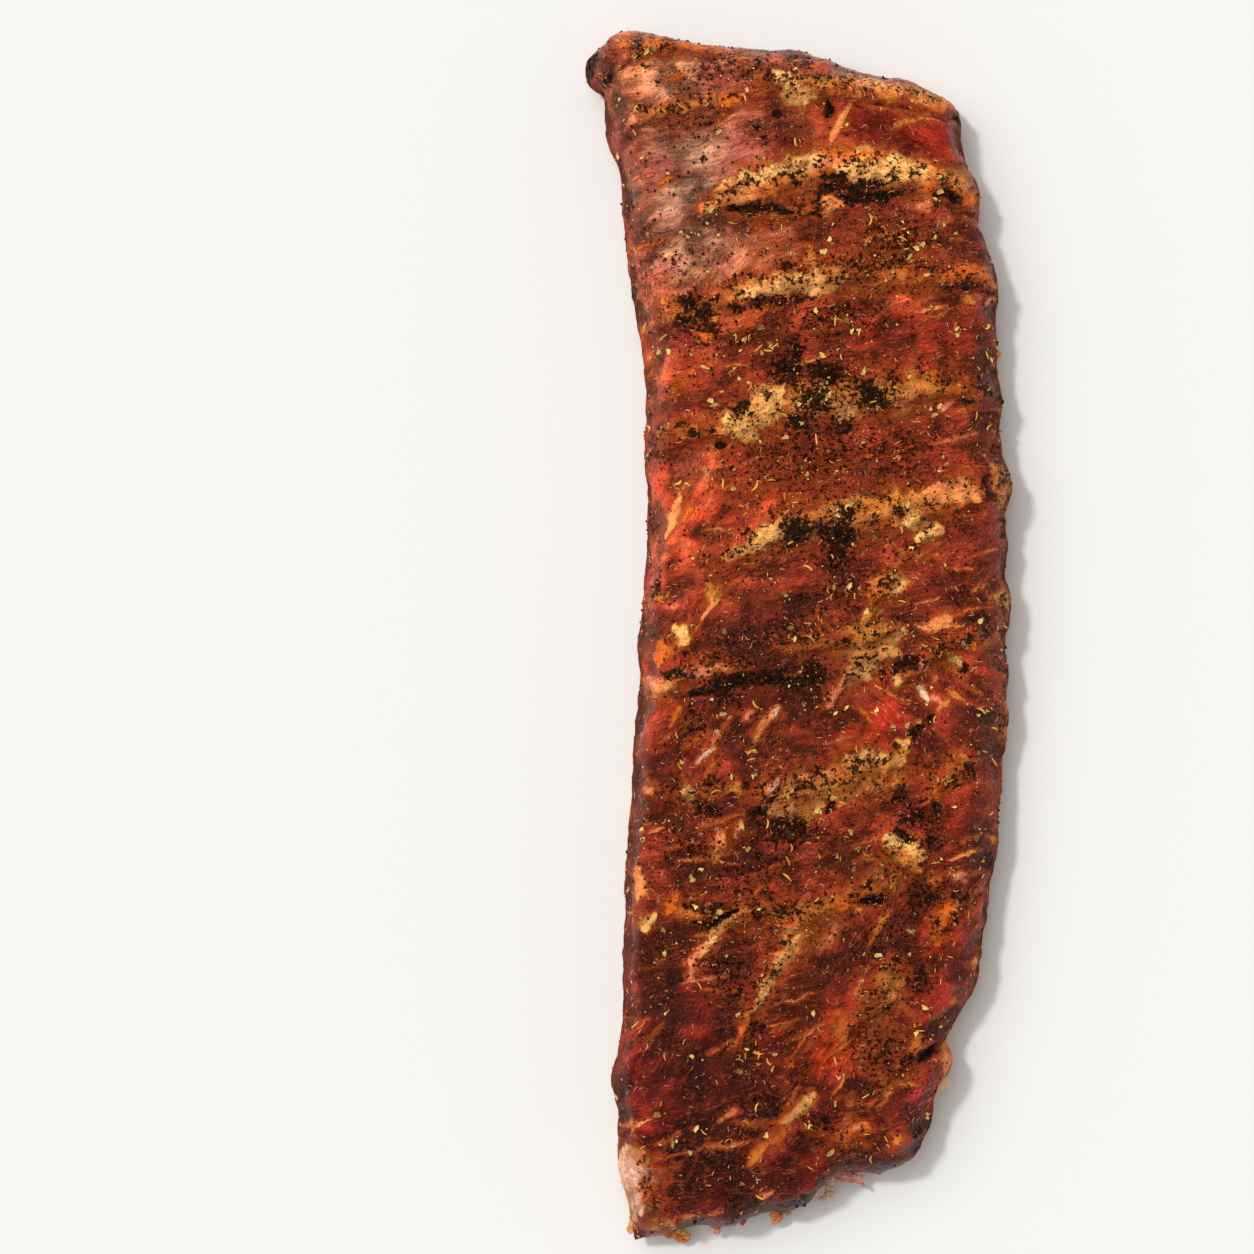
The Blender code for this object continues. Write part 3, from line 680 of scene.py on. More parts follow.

# %% [markdown]
# ## Crust and painted shade
# Pepper, sugar and dried blood have caked into black-brown crust, mostly in the hollows beside
# the bands of fat. Slits are cuts and seams between muscles, really cut in, and painted black inside,
# partly crust and partly painted shade. The faint strokes along the left side are painted shade of a
# crease there.

# %% Crust strokes and dabs, in millimetres
CRUST_AND_SHADE_STROKES = (
    (1.5, 1.0, ((11, 121.5), (17, 121.8), (24, 122), (28, 123.5))),
    (1.2, 0.9, ((11, 125.5), (17, 125), (24, 125.5))),
    (1.8, 0.9, ((7, 127), (11, 127), (8, 124), (5, 121))),
    (1.2, 0.8, ((2, 117), (5, 118), (4, 121))),
    (1.6, 0.85, ((-20, 118.5), (-14, 119.5), (-8, 118.5), (-2, 117.5))),
    (1.2, 0.9, ((-10, 157), (-8.5, 155))), (1.2, 0.8, ((-12, 159.5),)),
    (1.3, 0.8, ((-7, 145), (-5, 143))),
    (1.0, 0.8, ((-25, 143.5), (-28, 142))), (1.0, 0.8, ((-13, 141.5),)),
    (1.5, 0.85, ((-28, 132), (-25, 132))),
    (1.3, 0.8, ((-9.5, 138),)), (1.0, 0.8, ((-44, 161.5),)), (1.0, 0.8, ((-43, 158.5),)),
    (1.0, 0.8, ((-39, 154),)), (1.0, 0.8, ((-27, 158),)), (1.0, 0.9, ((7, 144), (8, 146), (7, 149))),
    (0.9, 0.8, ((14, 140.5), (18.5, 139))), (1.8, 0.85, ((37, 123), (40, 124), (43, 122), (44, 120))),
    (1.0, 0.8, ((36, 118.5), (39, 119.5))), (1.0, 0.8, ((43, 146), (45, 143))),
    (1.2, 0.8, ((46, 132.5), (48, 129.5))),
    (1.2, 0.8, ((-4, 103),)), (1.0, 0.8, ((-14, 100.3),)), (1.0, 0.8, ((-3, 99.5),)),
    (1.2, 0.75, ((-14, 94), (-5, 93.5), (5, 94))), (1.1, 0.8, ((45, 65), (49, 65))),
    (1.9, 0.85, ((-19, 62.5), (-14, 64))), (1.0, 0.8, ((-24, 53), (-21, 53))),
    (1.0, 0.8, ((-32.5, 56), (-25, 57))),
    (2.4, 0.9, ((-32, -16), (-25, -14), (-18, -12), (-10, -11), (-2, -12), (5, -12))),
    (1.4, 0.8, ((-32, -5),)), (1.2, 0.8, ((12, -1),)), (1.6, 0.85, ((32, -5), (28, -8), (26, -11))),
    (1.2, 0.8, ((23, -10),)), (1.2, 0.8, ((45, -1), (48, 1))), (1.0, 0.8, ((39, -2), (41, -3.5))),
    (1.2, 0.8, ((45, -9),)),
    (1.6, 0.85, ((34, -25), (32, -27), (30, -27))), (1.2, 0.8, ((35, -23),)),
    (2.6, 0.85, ((-13, -47), (-10, -50))),
    (1.2, 0.8, ((-15.5, -41),)), (1.8, 0.8, ((-7, -53), (2, -51))), (1.1, 0.9, ((7, -49), (9, -46))),
    (2.4, 0.85, ((26, -45), (29, -42))), (1.2, 0.8, ((32, -35),)), (2.4, 0.8, ((45, -37), (48, -35))),
    (1.2, 0.8, ((43, -40), (42, -42))), (1.4, 0.8, ((36, -46), (39, -48))),
    (1.5, 0.85, ((26, -53), (31, -57))), (1.0, 0.9, ((16, -73), (23, -73.5))),
    (1.1, 0.95, ((-30, -79), (-24, -79.5), (-21, -77), (-18, -75.5))),
    (1.6, 0.75, ((-13, -77), (-9, -78))),
    (1.2, 0.7, ((-9, -70), (-9, -73))), (1.5, 0.75, ((41, -72), (46, -72))), (1.3, 0.8, ((44, -79),)),
    (1.1, 0.8, ((41, -81),)),
    (1.4, 0.8, ((38, -114), (33, -118))), (1.3, 0.75, ((32, -139), (34, -138), (34.5, -136))),
    # The faint strokes along the left side, below, are painted shade: the dark crease along that side.
    (1.6, 0.50, ((-43, 46), (-41, 53), (-39, 60))), (1.2, 0.45, ((-42.5, 16), (-42.3, 30), (-42.2, 44))),
    (1.6, 0.50, ((-46.5, 86), (-46.8, 96), (-47, 106))), (1.2, 0.7, ((-40, 9), (-39.5, 17))),
    (1.3, 0.45, ((-44.5, -12), (-44.6, -20))), (1.3, 0.45, ((-47.5, 109), (-48, 118), (-48.5, 125))),
    (1.6, 0.8, ((-58, 154.5), (-58.5, 160), (-56, 163.5))), (1.5, 0.8, ((-55, 153), (-53, 157))),
)
# Centre, half length, half width, angle, strength.
CRUST_DABS = (
    (-19, 158, 10, 5, -3, 0.36), (0.5, 159.5, 3.5, 4, 0, 0.5), (27, 110.5, 12, 5.5, 3, 0.46),
    (-31.5, 93, 3, 2.2, 0, 0.8), (-33, 88, 2.2, 2.2, 0, 0.7), (-27, 90, 3.2, 3, 0, 0.75),
    (-17.5, 91.2, 2, 1.2, 0, 0.7),
    (-12, 92.5, 2.4, 1.7, 0, 0.7), (16, 103, 7, 3.2, 5, 0.55), (45, 98, 5.5, 2.2, 0, 0.55),
    (-4, 74, 4.4, 3.4, 20, 0.78), (-1.5, 80, 2.2, 3.2, 0, 0.72), (6.5, 73, 5.6, 3.2, 0, 0.8),
    (4, 66, 4.2, 4.2, 0, 0.74),
    (19.5, 66.5, 3.8, 3.8, 0, 0.76), (11.5, 59, 3.8, 2.4, 0, 0.66), (-0.5, 59, 3.8, 3.2, 0, 0.68),
    (51.5, 71, 2.2, 4.2, 0, 0.6), (55.5, 67, 2, 1.6, 0, 0.6), (-2, 30, 3.6, 4.2, 0, 0.82),
    (10, 27, 3.8, 6.4, 0, 0.84),
    (13, 35, 1.8, 2.4, 0, 0.72), (51.5, 41.5, 2, 5, 0, 0.62), (51, 3, 3.2, 3.4, 0, 0.6),
    (-20.5, -16.5, 4, 2, 10, 0.74),
    (3.5, -10, 2.2, 2.4, 0, 0.7), (-26, -47.5, 3.6, 2, -20, 0.72), (-4.5, -54, 8, 4.4, 5, 0.62),
    (31.5, -50, 4, 3.4, 20, 0.66),
    (36, -56.5, 2.6, 4, 10, 0.62), (34, -72, 4.4, 4.2, 0, 0.58), (52.5, -62.5, 2, 2.8, 0, 0.6),
    (33.5, -95, 3, 3.4, 0, 0.62),
    (-12.5, -109, 3, 2.4, 0, 0.6), (22.5, -115.5, 8, 7.5, 0, 0.46), (5, -134.5, 5.4, 2.6, 10, 0.52),
    (-8.5, -129, 4, 4.4, 30, 0.5),
    (-18.5, -157, 4, 3.2, 0, 0.5), (-28, -162.5, 2.4, 2.6, 0, 0.52), (-7, 1, 13, 4.2, 5, 0.40),
    (-32.5, -60, 5, 8, 80, 0.40),
    (-17.5, -97, 8, 11, 60, 0.40), (52, -21, 4, 3.4, 0, 0.46), (-29, -23, 4.2, 5.2, 0, 0.42),
    (0, 50, 22, 9, 10, 0.40),
    (12, 13, 9, 5, 10, 0.42), (-36, 104, 7, 5, 0, 0.36), (10, 88, 14, 5, 5, 0.42),
    (28, 50, 10, 6, 10, 0.40),
    (-15, -66, 10, 5, 20, 0.42), (22, -84, 7, 5, 40, 0.40), (36, -124, 5, 5, 0, 0.36),
    (-25, 84, 9, 4, 0, 0.46),
)
# Depth, half width and path of the slits, in millimetres.
SLITS = (
    (2.2, 1.1, ((10, 122), (17, 122), (24, 122.3), (29, 124))),
    (1.4, 0.9, ((-21, 118.5), (-14, 119.7), (-8, 118.7), (-2, 117.5))),
    (1.4, 0.9, ((7, 144), (8.2, 146), (7.5, 149))),
    (1.6, 0.9, ((-30, -79.3), (-24, -79.8), (-21, -77.3), (-18, -75.8))),
    (1.2, 0.8, ((16, -73.3), (23, -73.8))), (1.2, 0.8, ((7, -49), (9, -46))),
    (1.4, 1.2, ((26, -53.5), (31, -57.5))),
    (1.3, 1.0, ((38, -114), (33, -118))),
    (1.0, 1.0, ((-31, -16.5), (-25, -14.8), (-18, -12.8), (-10, -11.8), (-2, -12.6))),
    (1.1, 1.0, ((-24, 53), (-21, 53))), (1.0, 1.0, ((37, 122.5), (40, 123.5), (43, 121.5))),
    (1.0, 0.9, ((30, -26.5), (34, -25))),
)

# Where the dry rub lies thick (above 0) or the meat is clean and wet (below 0).
RUB_DABS = (
    (-12, 158, 18, 6, -3, 0.3), (-30, 118, 12, 24, 0, -0.15), (24, 111, 18, 7, 4, 0.35),
    (33, 86, 16, 8, 6, -0.35),
    (0, 52, 24, 9, 10, 0.3), (-29, 40, 11, 10, 30, -0.4), (34, 60, 16, 5, 8, -0.3),
    (48, 24, 9, 10, 0, -0.3),
    (-8, 2, 16, 6, 8, 0.4), (24, -21, 13, 10, -35, -0.5), (-39, -26, 5, 12, 8, -0.35),
    (-32, -60, 8, 9, 0, 0.35),
    (-17, -97, 10, 13, 60, 0.35), (7, -114, 7, 14, -35, -0.5), (22, -115, 10, 9, 20, 0.35),
    (48, -41, 7, 9, 0, -0.35),
    (49, -77, 5, 8, 0, -0.35), (42, -98, 8, 7, 40, -0.3), (5, -134, 10, 6, 10, 0.3),
    (-18, -157, 14, 6, 0, 0.25),
    (27, 141.5, 19, 8, -9, -0.9), (14, 132, 26, 3.6, 2, -0.5), (-27, 42, 12, 8, 30, -0.4),
    (-30, 16, 8, 12, 30, -0.4),
    (42, 40, 8, 3, 0, -0.5), (-6, -44, 14, 3, 0, -0.2), (-24, -140, 20, 22, 0, -0.3),
    (-1, 124, 5, 6, 0, -0.4), (34, -52, 6, 8, 10, 0.3), (12, 13, 12, 6, 10, 0.3),
    (-19, 101, 9, 5, 25, -0.2),
)
print(len(CRUST_AND_SHADE_STROKES), "strokes of crust,", len(CRUST_DABS), "dabs and", len(SLITS), "slits")

# %% Paint the crust
crust = np.zeros_like(X)
for half_width, strength, path in CRUST_AND_SHADE_STROKES:
    crust = np.maximum(crust, 0.80 * strength * stroke(XC, YC, path, 1.15 * half_width, 2.6))
for x, y, half_length, half_width, angle, strength in CRUST_DABS:
    mark = dab(XC, YC, x, y, 1.25 * half_length, 1.25 * half_width, angle, 2.6)
    crust = np.maximum(crust, 0.92 * strength * mark)
patchy = 1.0 + 0.6 * layered(X, Y, 5.0, 29)
for half_width, strength, path in BAND_ZONES:
    crust = np.maximum(crust, 0.36 * stroke(XC, YC - 1.6, path, 1.1 * half_width, 3.0) * patchy)
crust *= 1.0 - 0.8 * red_panel
# The slits' mask paints them black inside, partly as painted shade; their depth cuts the relief.
slit_shade = np.zeros_like(X)
slit_depth = np.zeros_like(X)
for depth, half_width, path in SLITS:
    mark = stroke(X, Y, path, half_width, 2.6)
    slit_shade = np.maximum(slit_shade, mark)
    slit_depth = np.maximum(slit_depth, depth * mark)
print("crust covers", f"{(crust > 0.5).mean():.1%}", "of the net")

# %% [markdown]
# ## Red meat
# Lean meat is brown red where the rub has dried on it, and bright, wet and nearly orange where the
# light goes through thin fibres. The dabs below are laid one over the other, like glazes.

# %% Dabs of meat tone, in millimetres
MEAT_DABS = (
    # The head.
    ("mauve", -37, 157, 10, 9, 0, 0.85), ("mauve", -30, 120, 15, 27, -8, 0.9),
    ("orange red", -46, 150, 3, 12, 0, 0.40),
    ("peachy", -32, 157, 12, 8, 0, 0.55), ("peachy", -24, 97, 17, 8, 12, 0.5),
    ("purple", -42, 129, 3, 5, 0, 0.5), ("pink", -47, 162, 3.4, 2.4, 0, 0.8),
    ("red", -14, 148.5, 7, 3.4, 5, 0.7),
    ("red", 27, 155, 7, 2.2, -15, 0.7), ("umber", -12, 158, 16, 5, -3, 0.5),
    ("deep red", 25, 141, 18, 7.5, -5, 1.0), ("maroon", 22, 138, 12, 2.2, -6, 0.5),
    ("red", 24, 143, 12, 3.6, -8, 0.7), ("bright red", -1, 124, 5, 6, 0, 0.75),
    ("umber", 26, 111, 16, 6, 4, 0.6), ("salmon", -19, 101.5, 8.5, 4.6, 25, 0.7),
    ("brown red", 5, 137, 5, 8, 0, 0.6),
    ("umber", -6, 110, 10, 6, 0, 0.3),
    # The middle.
    ("deep red", 33, 85, 17, 9, 6, 0.95), ("maroon", 40, 80, 11, 3.4, 5, 0.6),
    ("orange red", -1.5, 87, 3, 4, 0, 0.6),
    ("umber", -22, 84, 13, 7, 5, 0.5), ("deep red", 34, 60, 16, 5, 8, 0.8),
    ("red", -26, 65, 8, 6, 20, 0.5),
    ("brown red", 0, 52, 22, 9, 10, 0.5), ("bright red", -21.5, 38, 4.4, 2.6, 10, 0.8),
    ("salmon", -27, 42.5, 11, 8, 30, 0.85),
    ("salmon", -33, 21, 6, 8, 50, 0.9), ("orange red", -18, 28, 12, 3.2, 30, 0.85),
    ("pink", -33, 29, 7, 2.4, 50, 0.6),
    ("red", 48, 43.5, 3.4, 2.6, 0, 0.7), ("deep red", 48, 24, 9, 10, 90, 0.85),
    ("maroon", 32, 84, 16, 7, 6, 0.4), ("orange red", 24, 24, 3, 3, 0, 0.7),
    ("brown red", 5, 13, 16, 8, 10, 0.6), ("salmon", -25, 12, 6, 9, 55, 0.7),
    ("peachy", -25, 2, 6, 3.4, 10, 0.6),
    ("red", 24, -20, 13, 10, -35, 0.9), ("bright red", 24, -20, 8, 5, -35, 0.2),
    ("pink", -39, -26, 4, 12, 8, 0.65),
    ("deep red", -33.5, -7.5, 4.4, 3, 0, 0.6), ("umber", -9, -6, 8, 3, 0, 0.5),
    ("deep red", -21, -39, 4, 4, 0, 0.7),
    ("red", 48, -41, 7, 9, 90, 0.8), ("pink", 46, -43, 2.6, 3, 0, 0.5),
    ("orange red", 22, -56, 3, 5, 0, 0.6),
    ("umber", -8, 0, 16, 5, 5, 0.45), ("maroon", 5, -18, 8, 15, 0, 0.75), ("umber", 6, 8, 9, 8, 0, 0.55),
    ("dark maroon", -8, -6, 17, 8, 5, 0.75), ("red", 42, -8, 12, 5, -25, 0.6),
    ("orange red", 46, -14, 4.6, 2, 45, 0.7),
    ("brown red", 12, -22, 6, 8, 0, 0.4), ("pink", -14, -24, 6, 4, 50, 0.3),
    ("deep red", -2, -30, 12, 6, 10, 0.5),
    # The tail.
    ("pink", -40, -58, 4, 5, 0, 0.55), ("orange red", -42, -72, 3, 7, 0, 0.6),
    ("red", 49, -77, 5, 8, 90, 0.6),
    ("pink", 49, -76, 2.6, 4, 0, 0.4), ("red", 42, -98, 8, 7, 40, 0.8),
    ("bright red", 7, -118, 4.6, 12, -35, 0.9),
    ("bright red", 7, -112, 8, 8, 0, 0.6), ("red", 21, -109, 7, 3, 50, 0.75),
    ("pink", 33, -126, 5, 4, 60, 0.55),
    ("pink", 28, -138, 2.4, 3, 0, 0.5), ("red", 30, -141, 3.4, 4, 0, 0.6),
    ("red", -8, -136, 3, 3.6, 0, 0.5),
    ("red", -25, -155.5, 4, 3, 0, 0.5), ("orange red", -46, -126, 2.6, 10, 0, 0.6),
    ("maroon", -38, -100, 12, 14, 60, 0.8),
    ("dark maroon", -27, -142, 14, 19, 0, 0.75), ("dark maroon", -2, -129, 11, 9, 30, 0.6),
    ("dark maroon", 14, -90, 16, 8, 10, 0.6), ("orange red", -3, -134, 15, 4, 50, 0.55),
    ("orange red", 8, -74, 20, 5, 45, 0.45), ("umber", -30, -60, 8, 9, 0, 0.3),
    ("umber", -17, -97, 10, 12, 60, 0.3), ("orange red", 8, -112, 7, 9, -35, 0.65),
    ("orange red", -13, -87, 9, 3, 55, 0.4),
    ("orange red", -4, -73, 5, 3.4, 0, 0.6), ("deep red", 12, -94, 8, 6, 40, 0.5),
    ("deep red", 33, -88, 6, 5, 0, 0.5),
    # The left side wall, where light comes through.
    ("rust", -43.5, 104, 2.6, 8, 0, 0.9), ("orange red", -40, 73, 2.8, 8, 0, 0.95),
    ("rust", -40, 35, 2.8, 11, 0, 0.9),
    ("orange red", -43, -6, 2.8, 7, 0, 0.8), ("rust", -48, -120, 1.8, 50, 0, 0.6),
    ("umber", -46, 116, 2, 10, 0, 0.7),
    ("umber", -43, -30, 2, 12, 0, 0.3), ("umber", -42, 14, 2, 5, 0, 0.6),
    ("umber", -57, 158, 3.4, 6, 0, 0.7),
)
MEAT_TONES["peachy"] = linear(214, 128, 84)
# Long fibres that stand out: tone, half width, strength and path.
MEAT_STROKES = (
    ("salmon", 1.8, 0.9, ((-41, 10), (-37, 22), (-31, 33), (-23, 42))),
    ("orange red", 1.9, 0.95, ((-39, 14), (-30, 22), (-18, 31), (-5, 38))),
    ("pink", 1.0, 0.9, ((-41, 20), (-38, 30), (-32, 40))),
    ("salmon", 1.4, 0.85, ((-39, 2), (-33, 12), (-27, 20))),
    ("deep red", 1.1, 0.9, ((-38, 18), (-33, 27), (-26, 36))),
    ("orange red", 2.6, 0.8, ((-32, 38), (-24, 44), (-12, 47))),
    ("salmon", 1.6, 0.95, ((-31, 41), (-25, 44.5), (-19, 46))),
    ("maroon", 1.2, 0.8, ((-30, 28), (-20, 36), (-8, 41))),
    ("pink", 1.2, 0.8, ((-37, 7), (-32, 14), (-29, 20))),
    ("deep red", 1.2, 0.8, ((-33, 4), (-28, 12), (-24, 18))),
    ("salmon", 1.3, 0.8, ((-30, 98), (-22, 101), (-14, 104))),
    ("orange red", 1.3, 0.8, ((-28, 94), (-18, 97), (-10, 101))),
    ("pink", 0.9, 0.8, ((-26, 102), (-20, 104.5), (-14, 106))),
    ("orange red", 1.5, 0.4, ((14, 84), (30, 91), (46, 93))),
    ("orange red", 1.2, 0.35, ((20, 76), (36, 82), (50, 84))),
    ("salmon", 0.9, 0.3, ((30, 92), (42, 95), (52, 94))),
    ("orange red", 1.4, 0.35, ((16, 46), (32, 50), (50, 52))),
    ("orange red", 1.3, 0.35, ((24, 56), (38, 60), (52, 60))),
    ("salmon", 1.0, 0.3, ((30, 53), (42, 55), (52, 54))),
    ("orange red", 1.8, 0.4, ((12, -14), (22, -22), (32, -28))),
    ("maroon", 1.2, 0.8, ((13, -19), (22, -27), (28, -31))),
    ("salmon", 0.8, 0.7, ((-36, -22), (-33, -32), (-31, -38))),
    ("orange red", 1.4, 0.8, ((-30, -20), (-24, -28), (-20, -38))),
    ("dark maroon", 1.6, 0.8, ((-20, -22), (-10, -28), (4, -32))),
    ("pink", 0.9, 0.7, ((-38, -50), (-34, -56), (-32, -62))),
    ("orange red", 1.8, 0.8, ((2, -112), (8, -106), (14, -98))),
    ("salmon", 0.9, 0.6, ((4, -114), (10, -107), (15, -101))),
    ("orange red", 1.6, 0.8, ((6, -124), (14, -116), (22, -106))),
    ("maroon", 1.6, 0.8, ((0, -120), (8, -112), (16, -103))),
    ("dark maroon", 2.2, 0.8, ((-40, -104), (-32, -92), (-26, -84))),
    ("orange red", 1.4, 0.6, ((30, -136), (36, -128), (40, -120))),
    ("pink", 1.4, 0.7, ((30, -130), (34, -124), (37, -119))),
    ("salmon", 1.0, 0.7, ((34, -134), (37, -128), (39, -122))),
    ("orange red", 1.5, 0.8, ((-46, -96), (-45, -110), (-46, -124))),
    ("orange red", 1.6, 0.8, ((-44, -132), (-40, -144), (-38, -156))),
)
print(len(MEAT_DABS), "dabs and", len(MEAT_STROKES), "strokes of meat tone")

# %% Broad stains and painted shade
# Broad patches, partly stains where the rub has soaked in and partly painted shade: place, half
# sizes, angle, and how much darker (below 0) or lighter (above 0).
STAINS_AND_SHADE = (
    (3, -11, 13, 9, 10, -0.75), (5, 10, 10, 9, 0, -0.40), (4, 31, 9, 8, 10, -0.40),
    (-24, -32, 22, 12, 20, -0.42),
    (5, -30, 10, 6, 0, -0.30), (-33, -60, 9, 16, 0, -0.42), (5, -78, 10, 16, 0, -0.35),
    (19, -90, 14, 12, 0, -0.80),
    (18, -110, 14, 8, 0, -0.62), (4, -130, 12, 9, 30, -0.85), (-14, -130, 10, 9, 0, -0.35),
    (-30, -150, 14, 10, 0, -0.42),
    (24, -130, 8, 8, 0, -0.25), (24, 111, 13, 8, 5, -0.45), (-13, 110, 9, 7, 0, -0.30),
    (36, 68, 18, 9, 5, -0.28),
    (42, 51, 11, 8, 5, -0.42), (42, 10, 12, 8, 0, -0.30), (-30, 90, 14, 8, 10, 0.42),
    (-33, 48, 8, 9, 0, 0.22),
    (42, 31, 10, 6, 10, 0.22), (-32, 155, 13, 10, 0, 0.40), (24, 152, 12, 6, -10, 0.22),
    (24, 132, 22, 5, 0, 0.30),
    (-14, 130, 9, 8, 0, 0.18), (-6, -131, 10, 9, 0, -0.50), (13, -90, 9, 9, 0, -0.22),
    (-38, -150, 9, 10, 0, -0.30),
    (-4, 130, 8, 8, 0, -0.45), (14, 110, 9, 8, 0, -0.30), (-4, -10, 9, 8, 0, -0.30),
    (32, 30, 9, 8, 10, 0.24),
    (-40, 90, 11, 12, 0, 0.45), (-40, 150, 10, 12, 0, 0.20), (-38, 32, 8, 9, 0, 0.25),
    (-38, 10, 8, 9, 0, 0.2),
)
stains_and_shade = np.zeros_like(X)
pushed = shaken(3.0, 9.0, 121)
for *place, lift in STAINS_AND_SHADE:
    stains_and_shade += lift * dab(*pushed, *place, 3.0)
print("stains from", stains_and_shade.min().round(2), "to", stains_and_shade.max().round(2))

# %% [markdown]
# ## Lit patches
# Where the lean meat is thin or wet, the light goes in and comes back as a warm, clear red or
# amber. A few such patches catch the eye, so they are listed one by one, each in its own colour.

# %% Lit patches
# Colour, place, half sizes, angle, strength.
LIT_PATCHES = (
    ((214, 78, 24), 6, -112, 10, 6.5, 50, 0.80), ((190, 48, 28), 20, -25, 13, 5, 35, 0.60),
    ((214, 88, 42), -27, 39, 13, 7, 38, 0.60), ((176, 50, 28), 30, 79, 15, 6, 12, 0.50),
    ((186, 56, 26), 38, -82, 6, 9, -20, 0.50), ((168, 44, 26), 44, -46, 5, 10, -15, 0.50),
    ((196, 76, 52), -30, 90, 10, 6, 15, 0.40), ((180, 52, 28), 26, 44, 12, 5, 20, 0.45),
    ((150, 44, 26), 38, 142, 9, 7, -10, 0.75), ((142, 78, 62), -31, 152, 8, 5, 10, 0.45),
)
print(len(LIT_PATCHES), "lit patches")

# %% Paint the meat
slow = layered(X, Y, 24.0, 31)
quick = layered(X, Y, 7.0, 35)
meat_tint = np.zeros(X.shape + (3,)) + np.array(MEAT_TONES["brown red"])
meat_tint = towards(meat_tint, MEAT_TONES["deep red"], np.clip(0.35 + 0.6 * slow, 0, 1))
meat_tint = towards(meat_tint, MEAT_TONES["maroon"], np.clip(-0.15 - 0.7 * slow + 0.3 * quick, 0, 0.7))
# The third towards the tail is leaner and darker.
low_part = np.clip((-Y - 60.0) / 70.0, 0.0, 1.0)
meat_tint = towards(meat_tint, MEAT_TONES["maroon"], 0.55 * low_part)
pushed = shaken(2.2, 7.0, 33)
for tone, *place, strength in MEAT_DABS:
    meat_tint = towards(meat_tint, MEAT_TONES[tone], strength * dab(*pushed, *place, 3.0))
for tone, half_width, strength, path in MEAT_STROKES:
    mark = stroke(XH, YH, path, 1.4 * half_width, 2.6)
    meat_tint = towards(meat_tint, MEAT_TONES[tone], strength * mark)
rib_way = math.radians(14.0)
UR = X * math.cos(rib_way) + Y * math.sin(rib_way)
VR = Y * math.cos(rib_way) - X * math.sin(rib_way)
glow = np.zeros_like(X)
for half_width, strength, path in BAND_ZONES:
    glow = np.maximum(glow, stroke(XC, YC, path, 2.0 * half_width + 1.0, 2.2))
glow *= np.clip(0.50 + 0.9 * hills(UR / 2.0, VR, 8.0, 104), 0.0, 1.0)
glow *= 1.0 - 0.8 * dab(X, Y, -30, 122, 18, 30, -8, 4.0) - 0.2 * low_part
glow *= (1.0 - 0.45 * low_part) * (1.0 - red_panel)
meat_tint = towards(meat_tint, MEAT_TONES["orange red"], 0.60 * glow)
salmon_share = np.clip(1.6 * hills(UR / 2.2, VR, 5.0, 105) - 0.45, 0.0, 0.5) * (0.4 + 0.6 * glow)
purple_share = np.clip(1.5 * hills(UR / 1.6, VR, 9.0, 106) - 0.35, 0.0, 0.5)
meat_tint = towards(meat_tint, MEAT_TONES["salmon"], salmon_share)
meat_tint = towards(meat_tint, MEAT_TONES["purple"], purple_share)
broad = 0.40 * hills(UR / 2.4, VR, 6.0, 101) + 0.22 * hills(UR / 2.0, VR, 3.2, 102)
broad += 0.20 * hills(UR / 1.8, VR, 11.0, 109) - 0.03
depth_of_red = np.interp(Y, (-170, -70, 0, 60, 120, 170), (1.52, 1.50, 1.38, 1.26, 1.10, 1.04))
depth_of_red = depth_of_red - 0.14 * dab(X, Y, -34, 120, 22, 40, 0, 4.0)
meat_tint = meat_tint ** depth_of_red[..., None] * np.exp(1.2 * broad)[..., None] * (1.0, 0.86, 1.10)
meat_tint *= 1.0 - 0.14 * low_part[..., None]
meat_tint[..., 1] *= np.interp(Y, (-170, -120, -70, -20, 40, 100), (0.38, 0.42, 0.56, 0.72, 0.86, 1.0))
brightness = np.clip((meat_tint[..., :1] - 0.20) / 0.35, 0.0, 1.0)
meat_tint = meat_tint * (1.0 + brightness * (-0.10, 0.58, 0.42))
# No red is so pure that it has no green and blue in it.
least_share = np.stack([1.0 + 0 * X, 0.135 - 0.062 * low_part, 0.056 + 0 * X], axis=-1)
meat_tint = np.maximum(meat_tint, meat_tint[..., :1] * least_share)
panel_tone = np.minimum(0.5 * hills(UR / 2.5, VR, 4.0, 108), 0.12) - 0.35 * dab(X, Y, 22, 137, 13, 3.0,
    -8)
panel_red = np.array(linear(164, 48, 29)) * np.exp(panel_tone)[..., None]
meat_tint = meat_tint + (panel_red - meat_tint) * (0.85 * red_panel)[..., None]
# The broad stains and painted shade darken or lighten the meat, and, half as much, the fat below.
meat_tint = meat_tint * np.exp(stains_and_shade)[..., None]
pushed = shaken(2.5, 6.0, 131)
veined = np.clip(0.75 + 0.8 * hills(UR / 3.0, VR, 2.0, 133), 0.0, 1.0)
for colour, *place, strength in LIT_PATCHES:
    meat_tint = towards(meat_tint, linear(*colour), dab(*pushed, *place, 3.0) * (veined * strength))
fat_tint = fat_tint * np.exp(0.5 * stains_and_shade)[..., None] * (1.0 - low_part[..., None] * (0.0, 0.10, 0.05))
rim_nearness = np.clip(1.0 - np.minimum(to_left, to_right) / 4.0, 0.0, 1.0)
rim_tone = towards(np.array(linear(150, 68, 24)), linear(98, 28, 10), low_part)
rim_share = 0.9 * rim_nearness * np.clip(0.8 + 0.9 * hills(X, Y, 11.0, 107), 0.0, 1.0)
meat_tint = towards(meat_tint, rim_tone, rim_share)
print("mean meat tone", meat_tint.mean((0, 1)).round(3))

# %% [markdown]
# ## The slab's shape
# The height of the top is a slow form: thick in the middle, thin at the tail, with a low ridge
# over each bone. Its rim turns down along a quarter of an oval to the outline. Everything finer
# is then pushed out along the surface's own direction, so that the steep sides get it too.


